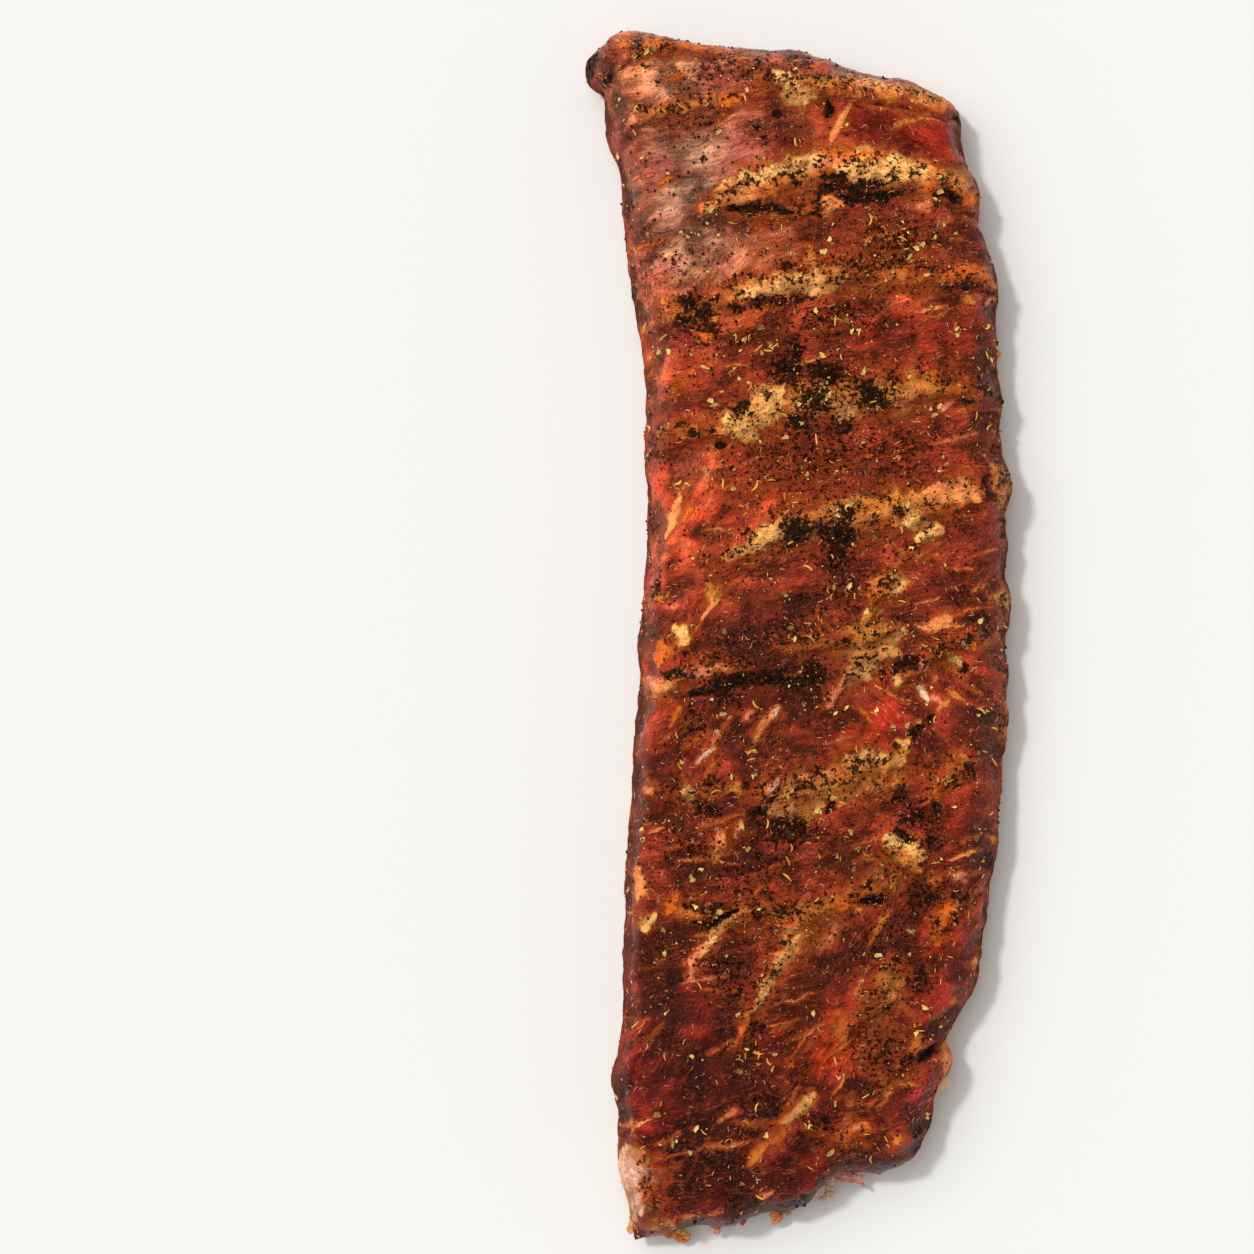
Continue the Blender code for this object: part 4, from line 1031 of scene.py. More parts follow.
# %% Slow form
# Heights in millimetres: the widest part of the rim, the bone side, and the top at three places.
WIDEST = 7.5
UNDERSIDE = 1.3
HEAD_TOP, MIDDLE_TOP, TAIL_TOP = 24.2, 25.4, 21.4
OVER_A_BONE = 2.2


def rim(distance, radius, roundness):
    """0 at the outline and 1 from the radius inwards."""
    inside = np.clip(distance / radius, 0.0, 1.0)
    return (1.0 - (1.0 - inside) ** roundness) ** (1.0 / roundness)


place = Y / 170.0
ends = np.where(place > 0, HEAD_TOP, TAIL_TOP)
slow_height = MIDDLE_TOP + (ends - MIDDLE_TOP) * place**2 - 4.2 * (np.clip(X, 0, None) / 58.0) ** 2
rib_distance = np.min([near_path(X, Y, line)[0] for line in RIB_LINES], axis=0)
ridge = np.exp(-((rib_distance / 8.0) ** 2))
left_radius = np.interp(Y[:, 0], (-170, -60, -20, 10, 50, 80, 120, 160),
    (5, 5, 6.5, 7, 7, 9.5, 9.5, 8))[:, None]
top_share = rim(to_left, left_radius, 1.7) * rim(to_right, 11.0, 2.0)
top_share = top_share * rim(to_tail, 9.0, 2.0) * rim(to_head, 10.0, 2.0)
Z = WIDEST + (slow_height + OVER_A_BONE * ridge - WIDEST) * top_share
base = np.stack([X, Y, Z], axis=-1)
print("slow form up to", Z.max().round(1), "mm")


# %% Lengths and directions on the surface
def surface_lengths(points):
    """How far each point is from the middle of the net, measured along the surface."""
    across = np.linalg.norm(np.diff(points, axis=1), axis=2)
    across = np.concatenate([np.zeros((points.shape[0], 1)), np.cumsum(across, axis=1)], axis=1)
    along = np.linalg.norm(np.diff(points, axis=0), axis=2)
    along = np.concatenate([np.zeros((1, points.shape[1])), np.cumsum(along, axis=0)], axis=0)
    middle = points.shape[1] // 2
    return across - across[:, middle : middle + 1], along - along[points.shape[0] // 2]


def directions(points):
    """The outward direction at each point of the net."""
    normal = np.cross(np.gradient(points, axis=1), np.gradient(points, axis=0))
    return normal / np.linalg.norm(normal, axis=2, keepdims=True)


S, T = surface_lengths(base)
outward = directions(base)
print("round the rim it is", (S[:, -1] - S[:, 0]).mean().round(1), "mm across")


# %% Fine relief
def fibres(angle, width, length, seed):
    """Long thin hills along one grain, for the relief."""
    turn = math.radians(angle)
    along = S * math.cos(turn) + T * math.sin(turn)
    across = T * math.cos(turn) - S * math.sin(turn)
    wander = 1.2 * hills(S, T, 9.0, seed + 5)
    return hills(along / length * width, across + wander, width, seed)


fat_body = np.clip((fat - 0.25) / 0.5, 0.0, 1.0)
crust_and_shade_body = np.clip((crust - 0.25) / 0.5, 0.0, 1.0)
relief = 1.15 * hills(S, T, 15.0, 41) + 0.42 * hills(S, T, 6.5, 42) + 0.12 * hills(S, T, 3.2, 43)
for share, angle, seed in zip(np.moveaxis(grain, 2, 0), GRAIN_ANGLES, (51, 61, 71)):
    relief += share * (0.26 * fibres(angle, 3.6, 26.0, seed) + 0.12 * fibres(angle, 1.7, 15.0, seed + 3))
folds = 1.0 - np.abs(hills(UR / 2.2, VR + 1.5 * hills(X, Y, 12.0, 47), 7.0, 48))
relief += 0.40 * (folds**3 - 0.35)
for half_width, strength, path in BAND_ZONES:
    crest = stroke(XC, YC - 1.2, path, 0.60 * half_width, 2.4)
    furrow = stroke(XC, YC + 0.80 * half_width, path, 0.45 * half_width, 2.4)
    relief += 0.90 * crest - 1.10 * furrow
relief += 0.55 * fat_body * (0.75 + 0.5 * hills(S, T, 2.4, 44))
relief += crust_and_shade_body * (0.30 * np.abs(hills(S, T, 2.2, 45)) + 0.22 * hills(S, T, 1.5, 46) - 0.15)
relief -= slit_depth
relief -= 0.8 * red_panel


def blurred(layer, reach):
    """A layer averaged over a square of points, by running sums down and then across."""
    for axis in (0, 1):
        pad = [(reach + 1, reach) if k == axis else (0, 0) for k in (0, 1)]
        sums = np.cumsum(np.pad(layer, pad, mode="edge"), axis=axis)
        count = layer.shape[axis]
        width = 2 * reach + 1
        layer = (np.take(sums, range(width, width + count), axis)
            - np.take(sums, range(count), axis)) / width
    return layer


# Painted shade and light: the relief less its blur darkens the colours in hollows and lightens them on
# swells.
heights = [share * (relief - blurred(relief, reach))
for share, reach in ((0.75, 5), (0.55, 14), (0.25, 30))]
cavity = np.clip(heights[0] + heights[1] + heights[2], -1.0, 1.0)
cavity *= 1.0 - 0.6 * red_panel
edge_fade = np.clip(np.minimum.reduce([to_left, to_right, to_tail, to_head]) / 3.0, 0.25, 1.0)
top_points = base + outward * (relief * edge_fade)[..., None]
print("relief from", relief.min().round(2), "to", relief.max().round(2), "mm")

# %% [markdown]
# ## The meat's mesh
# The top net carries the detail. The underside is hardly seen, so it uses every third row and
# column, and its outermost faces simply have more corners, to meet the top point for point. The
# painted layers go along as attributes: plain numbers on the points that a shader can read.


# %% Underside points
def underside_points():
    """The coarse net of the bone side: nearly flat, with low swells and rounded edges."""
    pick = (slice(None, None, COARSE), slice(None, None, COARSE))
    x, y = X[pick], Y[pick]
    share = rim(np.minimum(to_left, to_right)[pick], 6.0, 2.0) * rim(np.minimum(to_tail, to_head)[pick],
        6.0, 2.0)
    swell = 0.5 * hills(x, y, 9.0, 81) + 0.25 * hills(x, y, 4.0, 82)
    z = WIDEST + (UNDERSIDE + swell - WIDEST) * share
    return np.stack([x, y, np.maximum(z, 0.25)], axis=-1)


low_points = underside_points()
print("underside net", low_points.shape[:2])


# %% Build the mesh
def net_mesh(top, low, step):
    """One closed mesh from the top net and the coarse underside net."""
    rows, columns = top.shape[:2]
    top_index = np.arange(rows * columns).reshape(rows, columns)
    low_rows, low_columns = low.shape[:2]
    low_index = top_index[::step, ::step].copy()
    inner = np.arange((low_rows - 2) * (low_columns - 2)).reshape(low_rows - 2, low_columns - 2)
    low_index[1:-1, 1:-1] = rows * columns + inner
    points = np.vstack([top.reshape(-1, 3), low[1:-1, 1:-1].reshape(-1, 3)])
    quads = np.stack([top_index[:-1, :-1], top_index[:-1, 1:], top_index[1:, 1:], top_index[1:, :-1]],
        axis=-1)
    faces = quads.reshape(-1, 4).tolist()
    for j in range(low_rows - 1):
        for i in range(low_columns - 1):
            a, b = j * step, i * step
            west = top_index[a : a + step + 1, b] if i == 0 else low_index[j : j + 2, i]
            north = top_index[a + step, b : b + step + 1] if j == low_rows - 2 else low_index[j + 1,
                i : i + 2]
            east = top_index[a : a + step + 1, b + step] if i == low_columns - 2 else low_index[j : j + 2,
                i + 1]
            south = top_index[a, b : b + step + 1] if j == 0 else low_index[j, i : i + 2]
            ring = [*west[:-1], *north[:-1], *east[::-1][:-1], *south[::-1][:-1]]
            faces.append([int(k) for k in ring])
    mesh = bpy.data.meshes.new("meat")
    mesh.from_pydata((points * MM).tolist(), [], faces)
    mesh.shade_smooth()
    return mesh


meat_mesh = net_mesh(top_points, low_points, COARSE)
meat = bpy.data.objects.new("ribs_meat", meat_mesh)
scene.collection.objects.link(meat)
meat_mesh.calc_loop_triangles()
print(len(meat_mesh.loop_triangles), "triangles of meat")


# %% Write the painted layers onto the mesh
def add_layer(mesh, name, values, under=0.0):
    """A painted layer as a point attribute. The underside gets one plain value."""
    spare = len(mesh.vertices) - values.shape[0] * values.shape[1]
    if values.ndim == 2:
        layer = mesh.attributes.new(name, "FLOAT", "POINT")
        data = np.concatenate([values.ravel(), np.full(spare, under)])
        layer.data.foreach_set("value", data.astype(np.float32))
        return
    layer = mesh.attributes.new(name, "FLOAT_COLOR", "POINT")
    data = np.vstack([values.reshape(-1, 3), np.tile(np.broadcast_to(under, 3), (spare, 1))])
    data = np.hstack([data, np.ones((len(data), 1))])
    layer.data.foreach_set("color", data.astype(np.float32).ravel())


hollow = np.clip(0.22 - relief + 0.5 * slit_depth, -1.0, 1.0)
rub_share = 0.10 + 0.30 * hollow - 0.30 * fat_body - 0.9 * red_panel - 0.20 * low_part + 0.25 * crust_and_shade_body
for *place, amount in RUB_DABS:
    rub_share += amount * dab(X, Y, *place, 3.0)
clean = np.clip(1.0 + 1.3 * np.minimum(rub_share, 0.0), 0.25, 1.0)
pepper = np.clip(0.26 + 0.16 * fat_body + 0.5 * crust_and_shade_body + 0.25 * layered(X, Y, 13.0, 37), 0.0, 1.0)
pepper *= (1.0 - 0.75 * red_panel) * (1.0 - 0.3 * low_part) * clean
LAYERS = (
    # Name, values on the top, and the plain value of the underside.
    ("rub", rub_share, -1.0),
    ("cavity", cavity, 0.0),
    ("rim", rim_nearness, 0.0),
    ("fat", fat, 0.0),
    # The crust layer also carries painted shade: black in the slits and along the left crease.
    ("crust", np.maximum(crust, 0.9 * slit_shade), 0.0),
    ("pepper", pepper, 0.1),
    ("underside", np.zeros_like(X), 1.0),
    ("meat_tint", meat_tint, MEAT_TONES["red"]),
    ("fat_tint", fat_tint, FAT_TONES["pink"]),
    ("grain", grain, (1.0, 0.0, 0.0)),
)
for layer in LAYERS:
    add_layer(meat_mesh, *layer)
print("layers:", [layer.name for layer in meat_mesh.attributes if not layer.name.startswith(".")])

# %% [markdown]
# ## Shader helpers
# A shader is a chain of small steps. These helpers keep each step to one line: they add a node,
# set its numbers, or link whatever is handed to them as another node's output.


# %% Helpers for nodes
def put(tree, socket, value):
    """Links an output to a socket, or sets a plain number or colour on it."""
    if isinstance(value, bpy.types.NodeSocket):
        tree.links.new(value, socket)
    elif socket.type == "RGBA" and len(value) == 3:
        socket.default_value = (*value, 1.0)
    else:
        socket.default_value = value


def add(tree, kind, settings=None, **inputs):
    """A node with its settings, and its inputs by name, with underscores for spaces."""
    node = tree.nodes.new(kind)
    node.location = (220 * (len(tree.nodes) % 9), -190 * (len(tree.nodes) // 9))
    for name, value in (settings or {}).items():
        setattr(node, name, value)
    for name, value in inputs.items():
        put(tree, node.inputs[name.replace("_", " ")], value)
    return node


print("helpers: put and add")


# %% Helpers for arithmetic
def calc(tree, operation, first, second=0.0, third=0.0, clamp=False):
    """One step of arithmetic."""
    node = add(tree, "ShaderNodeMath", {"operation": operation, "use_clamp": clamp})
    for socket, value in zip(node.inputs, (first, second, third)):
        put(tree, socket, value)
    return node.outputs[0]


def times(tree, first, second):
    """One value times another."""
    return calc(tree, "MULTIPLY", first, second)


def scaled(tree, value, factor, offset, clamp=False):
    """A value times a factor, plus an offset."""
    return calc(tree, "MULTIPLY_ADD", value, factor, offset, clamp)


def vector_step(tree, operation, first, second):
    """One step of arithmetic with vectors."""
    node = add(tree, "ShaderNodeVectorMath", {"operation": operation})
    put(tree, node.inputs[0], first)
    put(tree, node.inputs[1], second)
    return node.outputs[0]


print("helpers: calc, times, scaled and vector_step")


# %% Helpers for colours
def mix(tree, share, first, second, way="MIX"):
    """Two colours blended."""
    node = add(tree, "ShaderNodeMix", {"data_type": "RGBA", "blend_type": way, "clamp_result": False})
    put(tree, node.inputs[0], share)
    put(tree, node.inputs[6], first)
    put(tree, node.inputs[7], second)
    return node.outputs[2]


def shaded(tree, colour, values):
    """A colour multiplied by a value or by another colour."""
    return mix(tree, 1.0, colour, values, "MULTIPLY")


def glaze(tree, colour, mask, amount, tone):
    """A colour with a tone laid over it, by a mask times an amount."""
    return mix(tree, times(tree, mask, amount), colour, tone)


def span(tree, value, low, high, to_low=0.0, to_high=1.0):
    """A value's range mapped smoothly onto another range."""
    node = add(tree, "ShaderNodeMapRange", {"interpolation_type": "SMOOTHSTEP"})
    for name, number in zip(("Value", "From Min", "From Max", "To Min", "To Max"),
            (value, low, high, to_low, to_high)):
        put(tree, node.inputs[name], number)
    return node.outputs["Result"]


def grainy(tree, vector, scale, detail=2.0, rough=0.55):
    """A noise texture's value."""
    return add(tree, "ShaderNodeTexNoise", None, Vector=vector, Scale=scale, Detail=detail,
        Roughness=rough).outputs["Fac"]


def layer_of(tree, name, output="Fac"):
    """A painted layer of the mesh."""
    return add(tree, "ShaderNodeAttribute", {"attribute_name": name}).outputs[output]


def millimetres(tree):
    """Object coordinates, in millimetres."""
    place = add(tree, "ShaderNodeTexCoord").outputs["Object"]
    return add(tree, "ShaderNodeVectorMath", {"operation": "SCALE"}, Vector=place,
        Scale=1000.0).outputs[0]


print("helpers: mix, shaded, glaze, span, grainy, layer_of and millimetres")


# %% Helpers for finishes and groups
def new_finish(name):
    """A new material, its tree, its Principled shader and its coordinates in millimetres."""
    material = bpy.data.materials.new(name)
    material.use_nodes = True
    tree = material.node_tree
    return material, tree, tree.nodes["Principled BSDF"], millimetres(tree)


def bump(tree, skin, strength, height):
    """Heights in millimetres, as a bump on the shader's normal."""
    node = add(tree, "ShaderNodeBump", None, Strength=strength, Distance=MM, Height=height)
    put(tree, skin.inputs["Normal"], node.outputs["Normal"])


def new_group(name, inputs, outputs):
    """An empty shader group with its sockets. It returns the group, its input and its output."""
    group = bpy.data.node_groups.new(name, "ShaderNodeTree")
    for label, kind, value in inputs:
        socket = group.interface.new_socket(label, in_out="INPUT", socket_type=kind)
        if value is not None:
            socket.default_value = value
    for label, kind in outputs:
        group.interface.new_socket(label, in_out="OUTPUT", socket_type=kind)
    return group, group.nodes.new("NodeGroupInput").outputs, group.nodes.new("NodeGroupOutput").inputs


def use(tree, group, **inputs):
    """A placed group's outputs."""
    node = tree.nodes.new("ShaderNodeGroup")
    node.node_tree = group
    for name, value in inputs.items():
        put(tree, node.inputs[name.replace("_", " ")], value)
    return node.outputs


print("helpers: new_finish, bump, new_group and use")

# %% [markdown]
# ## Ragged edges
# A painted mask is soft and only as fine as the net. This group adds noise to it and then cuts it
# off sharply, so that fat ends in flecks and crust in grains much finer than the net.

# %% Group: ragged mask
NUMBER, COLOUR, VECTOR = "NodeSocketFloat", "NodeSocketColor", "NodeSocketVector"
ragged, given, result = new_group(
    "Ragged mask",
    [("Mask", NUMBER, 0.0), ("Vector", VECTOR, None), ("Fleck", NUMBER, 0.5), ("Amount", NUMBER, 0.5),
    ("Softness", NUMBER, 0.08)],
    [("Mask", NUMBER), ("Value", NUMBER)],
)
flecks = grainy(ragged, given["Vector"], given["Fleck"], 3.5, 0.66)
pushed = scaled(ragged, calc(ragged, "SUBTRACT", flecks, 0.5), given["Amount"], given["Mask"])
low_edge = calc(ragged, "SUBTRACT", 0.5, given["Softness"])
high_edge = calc(ragged, "ADD", 0.5, given["Softness"])
put(ragged, result["Mask"], span(ragged, pushed, low_edge, high_edge))
put(ragged, result["Value"], pushed)
print("group:", ragged.name)

# %% [markdown]
# ## Muscle fibres
# A fibre is noise pulled out along one direction. The group makes one such noise for each of the
# three grains and blends them by the painted shares.

# %% Group: muscle fibres
fibre_group, given, result = new_group(
    "Muscle fibres",
    [("Vector", VECTOR, None), ("Grain", COLOUR, (1, 0, 0, 1)), ("Width", NUMBER, 0.8),
    ("Length", NUMBER, 9.0)],
    [("Streak", NUMBER)],
)
wander = add(fibre_group, "ShaderNodeTexNoise", None, Vector=given["Vector"], Scale=0.16,
    Detail=1.0).outputs["Color"]
wander = add(fibre_group, "ShaderNodeVectorMath", {"operation": "SCALE"}, Vector=wander,
    Scale=3.0).outputs[0]
bent = vector_step(fibre_group, "ADD", given["Vector"], wander)
across = calc(fibre_group, "DIVIDE", 1.0, given["Width"])
along = calc(fibre_group, "DIVIDE", 1.0, given["Length"])
squeeze = add(fibre_group, "ShaderNodeCombineXYZ", None, X=along, Y=across, Z=across).outputs[0]
grain_shares = add(fibre_group, "ShaderNodeSeparateColor", None, Color=given["Grain"]).outputs
streak = 0.0
for share, angle in zip(grain_shares, GRAIN_ANGLES):
    about_z = {"rotation_type": "Z_AXIS"}
    turned = add(fibre_group, "ShaderNodeVectorRotate", about_z, Vector=bent, Angle=math.radians(-angle))
    pulled = vector_step(fibre_group, "MULTIPLY", turned.outputs[0], squeeze)
    streak = scaled(fibre_group, grainy(fibre_group, pulled, 1.0, 2.0, 0.6), share, streak)
put(fibre_group, result["Streak"], streak)
print("group:", fibre_group.name)

# %% [markdown]
# ## Ground pepper and spice
# Ground spice is a field of tiny grains. Voronoi cells give each grain a place and a random
# number. The number decides whether the cell holds a grain and how large it is.

# %% Group: specks
speck_group, given, result = new_group(
    "Specks",
    [("Vector", VECTOR, None), ("Spacing", NUMBER, 1.2), ("Size", NUMBER, 0.3), ("Amount", NUMBER, 0.5)],
    [("Mask", NUMBER), ("Random", NUMBER), ("Halo", NUMBER)],
)
cell_scale = calc(speck_group, "DIVIDE", 1.0, given["Spacing"])
shift = add(speck_group, "ShaderNodeTexNoise", None, Vector=given["Vector"], Scale=2.0,
    Detail=1.0).outputs["Color"]
shift = add(speck_group, "ShaderNodeVectorMath", {"operation": "SCALE"}, Vector=shift,
    Scale=0.45).outputs[0]
shifted = vector_step(speck_group, "ADD", given["Vector"], shift)
cells = add(speck_group, "ShaderNodeTexVoronoi", None, Vector=shifted, Scale=cell_scale, Randomness=1.0)
cell_random = add(speck_group, "ShaderNodeSeparateColor", None, Color=cells.outputs["Color"]).outputs
present = calc(speck_group, "LESS_THAN", cell_random[0], given["Amount"])
reach = times(speck_group, given["Size"], scaled(speck_group, cell_random[1], 0.8, 0.5))
distance = times(speck_group, cells.outputs["Distance"], given["Spacing"])
dot = span(speck_group, distance, times(speck_group, reach, 1.15), times(speck_group, reach, 0.7))
put(speck_group, result["Mask"], times(speck_group, dot, present))
halo = span(speck_group, distance, times(speck_group, reach, 2.6), times(speck_group, reach, 0.9))
put(speck_group, result["Halo"], times(speck_group, halo, present))
put(speck_group, result["Random"], cell_random[2])
print("group:", speck_group.name)

# %% [markdown]
# ## The meat's finish
# The finish is built from the bottom up, as a painter would: lean meat first, then fat, crust and
# pepper, and the membrane of the bone side. The lean meat takes its painted tone, darker and
# lighter along its fibres, with painted shade in the relief's hollows and painted light on its
# swells, sinew with painted highlights along the fibres, pale and dark dust, and stains of rub over it.

# %% Finish: lean meat
meat_finish, tree, skin, place = new_finish("rubbed meat")
tint = layer_of(tree, "meat_tint", "Color")
pale = layer_of(tree, "fat_tint", "Color")
under = layer_of(tree, "underside")
grain_layer = layer_of(tree, "grain", "Color")
fibre = use(tree, fibre_group, Vector=place, Grain=grain_layer, Width=1.8, Length=15.0)["Streak"]
fine_fibre = use(tree, fibre_group, Vector=place, Grain=grain_layer, Width=0.42, Length=3.6)["Streak"]
fine = grainy(tree, place, 2.2, 2.0, 0.7)
medium = grainy(tree, place, 0.40, 3.0, 0.6)
twisted = {"Scale": 0.95, "Detail": 3.0, "Roughness": 0.78, "Distortion": 1.3}
dust = add(tree, "ShaderNodeTexNoise", None, Vector=place, **twisted).outputs["Fac"]
relief_shade_layer = layer_of(tree, "cavity")
# Painted shade in the relief's hollows and painted light on its swells.
shade = span(tree, relief_shade_layer, -0.60, 0.60, 0.42, 1.52)
lean = shaded(tree, tint, span(tree, fibre, 0.30, 0.70, 0.78, 1.26))
lean = shaded(tree, lean, span(tree, fine_fibre, 0.30, 0.70, 0.66, 1.36))
lean = shaded(tree, lean, shade)
# Pale sinew along the fibres, partly painted highlight.
sinew_and_highlight = times(tree, span(tree, fibre, 0.50, 0.64), span(tree, fine_fibre, 0.52, 0.64))
lean = glaze(tree, lean, sinew_and_highlight, 0.50, mix(tree, 0.55, tint, linear(244, 146, 104)))
film = span(tree, layer_of(tree, "rub"), -0.35, 0.45)
pale_dust = times(tree, span(tree, fine, 0.58, 0.66), scaled(tree, film, 0.34, 0.16))
lean = mix(tree, pale_dust, lean, mix(tree, 0.55, tint, linear(222, 128, 88)))
dark_dust = times(tree, span(tree, fine, 0.42, 0.32), scaled(tree, film, 0.55, 0.25))
lean = mix(tree, dark_dust, lean, linear(40, 17, 11))
stain = times(tree, film, span(tree, medium, 0.42, 0.62))
lean = glaze(tree, lean, stain, 0.50, linear(84, 34, 22))
print(len(tree.nodes), "nodes for the lean meat")

# %% [markdown]
# ### Fat
# A band of fat is pale in its middle and amber at its edge, where it thins out over the meat. Fine
# veins and brown hollows break it up. One ragged value, cut at three heights, gives the edge, the
# body and the core, so they always lie inside each other.

# %% Finish: fat
ragged_fat = {"Fleck": 0.36, "Amount": 0.95, "Softness": 0.10}
fat_value = use(tree, ragged, Mask=layer_of(tree, "fat"), Vector=place, **ragged_fat)["Value"]
fat_value = scaled(tree, calc(tree, "SUBTRACT", fine_fibre, 0.5), 0.5, fat_value)
fat_edge = span(tree, fat_value, 0.02, 0.34)
fat_main = span(tree, fat_value, 0.26, 0.52)
fat_core = span(tree, fat_value, 0.44, 0.72)
suet = mix(tree, fat_core, mix(tree, 0.50, linear(176, 94, 42), pale), pale)
suet = shaded(tree, suet, span(tree, medium, 0.32, 0.68, 0.78, 1.16))
# The same painted shade and light of the relief, on the fat.
suet = shaded(tree, suet, span(tree, relief_shade_layer, -0.5, 0.5, 0.62, 1.25))
to_edge = {"feature": "DISTANCE_TO_EDGE"}
crazing = add(tree, "ShaderNodeTexVoronoi", to_edge, Vector=place, Scale=0.55, Randomness=1.0)
vein = times(tree, span(tree, crazing.outputs["Distance"], 0.10, 0.0), span(tree, medium, 0.45, 0.60))
suet = glaze(tree, suet, vein, 0.60, linear(184, 92, 36))
suet = glaze(tree, suet, span(tree, fibre, 0.52, 0.38), 0.45, linear(196, 104, 46))
hollows = span(tree, dust, 0.46, 0.34)
suet = glaze(tree, suet, hollows, scaled(tree, fat_core, -0.45, 0.85), linear(112, 58, 24))
amber = mix(tree, medium, linear(150, 62, 30), linear(206, 96, 44))
colour = glaze(tree, lean, fat_edge, 0.72, amber)
colour = mix(tree, fat_main, colour, suet)
rub = times(tree, film, span(tree, dust, 0.50, 0.38))
colour = glaze(tree, colour, rub, 0.45, mix(tree, fine, linear(40, 18, 11), linear(98, 54, 26)))
print(len(tree.nodes), "nodes with the fat")

# %% [markdown]
# ### Crust and pepper
# The crust is a soft brown stain with ragged, nearly black crumbs in it; the same layer paints
# shade in the slits and along the left crease. Ground pepper is three sizes of specks, the pale
# seeds among them, and the coarse grains have an oily halo.

# %% Finish: crust and pepper
crust_and_shade_layer = layer_of(tree, "crust")
soft_crust_and_shade = span(tree, crust_and_shade_layer, 0.18, 0.72)
colour = glaze(tree, colour, soft_crust_and_shade, span(tree, dust, 0.62, 0.42, 0.25, 0.85), linear(70, 38, 20))
crust_and_shade_mask = use(tree, ragged, Mask=crust_and_shade_layer, Vector=place, Fleck=0.80, Amount=2.2, Softness=0.08)
char_and_shade_tone = mix(tree, span(tree, fine, 0.40, 0.68), linear(15, 11, 9), linear(60, 40, 25))
colour = glaze(tree, colour, crust_and_shade_mask["Mask"], 0.94, char_and_shade_tone)

pepper_layer = layer_of(tree, "pepper")
grains = use(tree, speck_group, Vector=place, Spacing=1.35, Size=0.36, Amount=pepper_layer)
tiny = use(tree, speck_group, Vector=place, Spacing=0.75, Size=0.20, Amount=pepper_layer)
seeds = use(tree, speck_group, Vector=place, Spacing=1.9, Size=0.27,
    Amount=times(tree, pepper_layer, 0.7))
colour = glaze(tree, colour, grains["Halo"], 0.55, linear(138, 66, 28))
seed_tone = mix(tree, seeds["Random"], linear(222, 160, 78), linear(176, 116, 48))
grain_tone = mix(tree, grains["Random"], linear(14, 8, 6), linear(58, 32, 16))
colour = glaze(tree, colour, seeds["Mask"], 0.85, seed_tone)
colour = glaze(tree, colour, tiny["Mask"], 0.85, linear(26, 13, 8))
colour = glaze(tree, colour, grains["Mask"], 0.92, grain_tone)
print(len(tree.nodes), "nodes with the crust and the pepper")

# %% [markdown]
# ### Membrane, sheen and bump
# The bone side is covered by a thin pale membrane. Wet meat is glossy and crust is dull, so the
# roughness follows the same masks as the colours, and so do the heights of the bump.

# %% Finish: membrane, sheen and bump
membrane = mix(tree, span(tree, medium, 0.38, 0.62), linear(178, 92, 76), linear(226, 172, 146))
membrane = glaze(tree, membrane, span(tree, fibre, 0.50, 0.64), 0.5, linear(240, 214, 196))
colour = mix(tree, under, colour, membrane)
colour = add(tree, "ShaderNodeGamma", None, Color=colour, Gamma=1.16).outputs[0]
put(tree, skin.inputs["Base Color"], colour)
wet = grainy(tree, place, 0.26, 3.0, 0.6)
rough = span(tree, wet, 0.35, 0.65, 0.11, 0.29)
rough = scaled(tree, crust_and_shade_mask["Mask"], 0.16, rough)
rough = scaled(tree, rub, 0.14, rough)
rough = scaled(tree, layer_of(tree, "rim"), 0.75, rough, clamp=True)
put(tree, skin.inputs["Roughness"], rough)
skin.inputs["IOR"].default_value = 1.42
skin.inputs["Specular IOR Level"].default_value = 0.26
skin.inputs["Specular Tint"].default_value = (1.0, 0.60, 0.46, 1.0)

# What stands up, and by how many millimetres.
HEIGHTS = (
    (fine_fibre, 0.42),
    (medium, 1.1),
    (fine, 0.30),
    (dust, 0.30),
    (fat_main, 0.25),
    (crust_and_shade_mask["Mask"], scaled(tree, fine, 1.2, -0.1)),
    (grains["Mask"], 0.30),
    (tiny["Mask"], 0.14),
    (seeds["Mask"], 0.22),
)
height = times(tree, fibre, 0.9)
for layer, amount in HEIGHTS:
    height = scaled(tree, layer, amount, height)
bump(tree, skin, 1.0, height)
meat_mesh.materials.append(meat_finish)
print(len(tree.nodes), "nodes in the meat's finish")

# %% Fix the meat in the frame
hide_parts("meat")
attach(meat, "root")
print("the meat stands for its CAD node")

# %% [markdown]
# ## Rib bones
# A rib is a flattened tube that follows a gentle curve. Geometry Nodes sweep an oval along each
# rib's line. The line carries two numbers at each point: how full the section is, which closes
# the ends in a shallow dome like a saw cut, and how far inside the cut face the point lies, which
# colours the hard ring and the red marrow.


# %% Sweep tree
def tree_inputs(tree, sockets):
    """Named inputs on a Geometry Nodes tree, with their defaults. It returns the input node's outputs."""
    tree.interface.new_socket("Geometry", in_out="OUTPUT", socket_type="NodeSocketGeometry")
    for label, kind, value in sockets:
        socket = tree.interface.new_socket(label, in_out="INPUT", socket_type=kind)
        if value is not None:
            socket.default_value = value
    return tree.nodes.new("NodeGroupInput").outputs


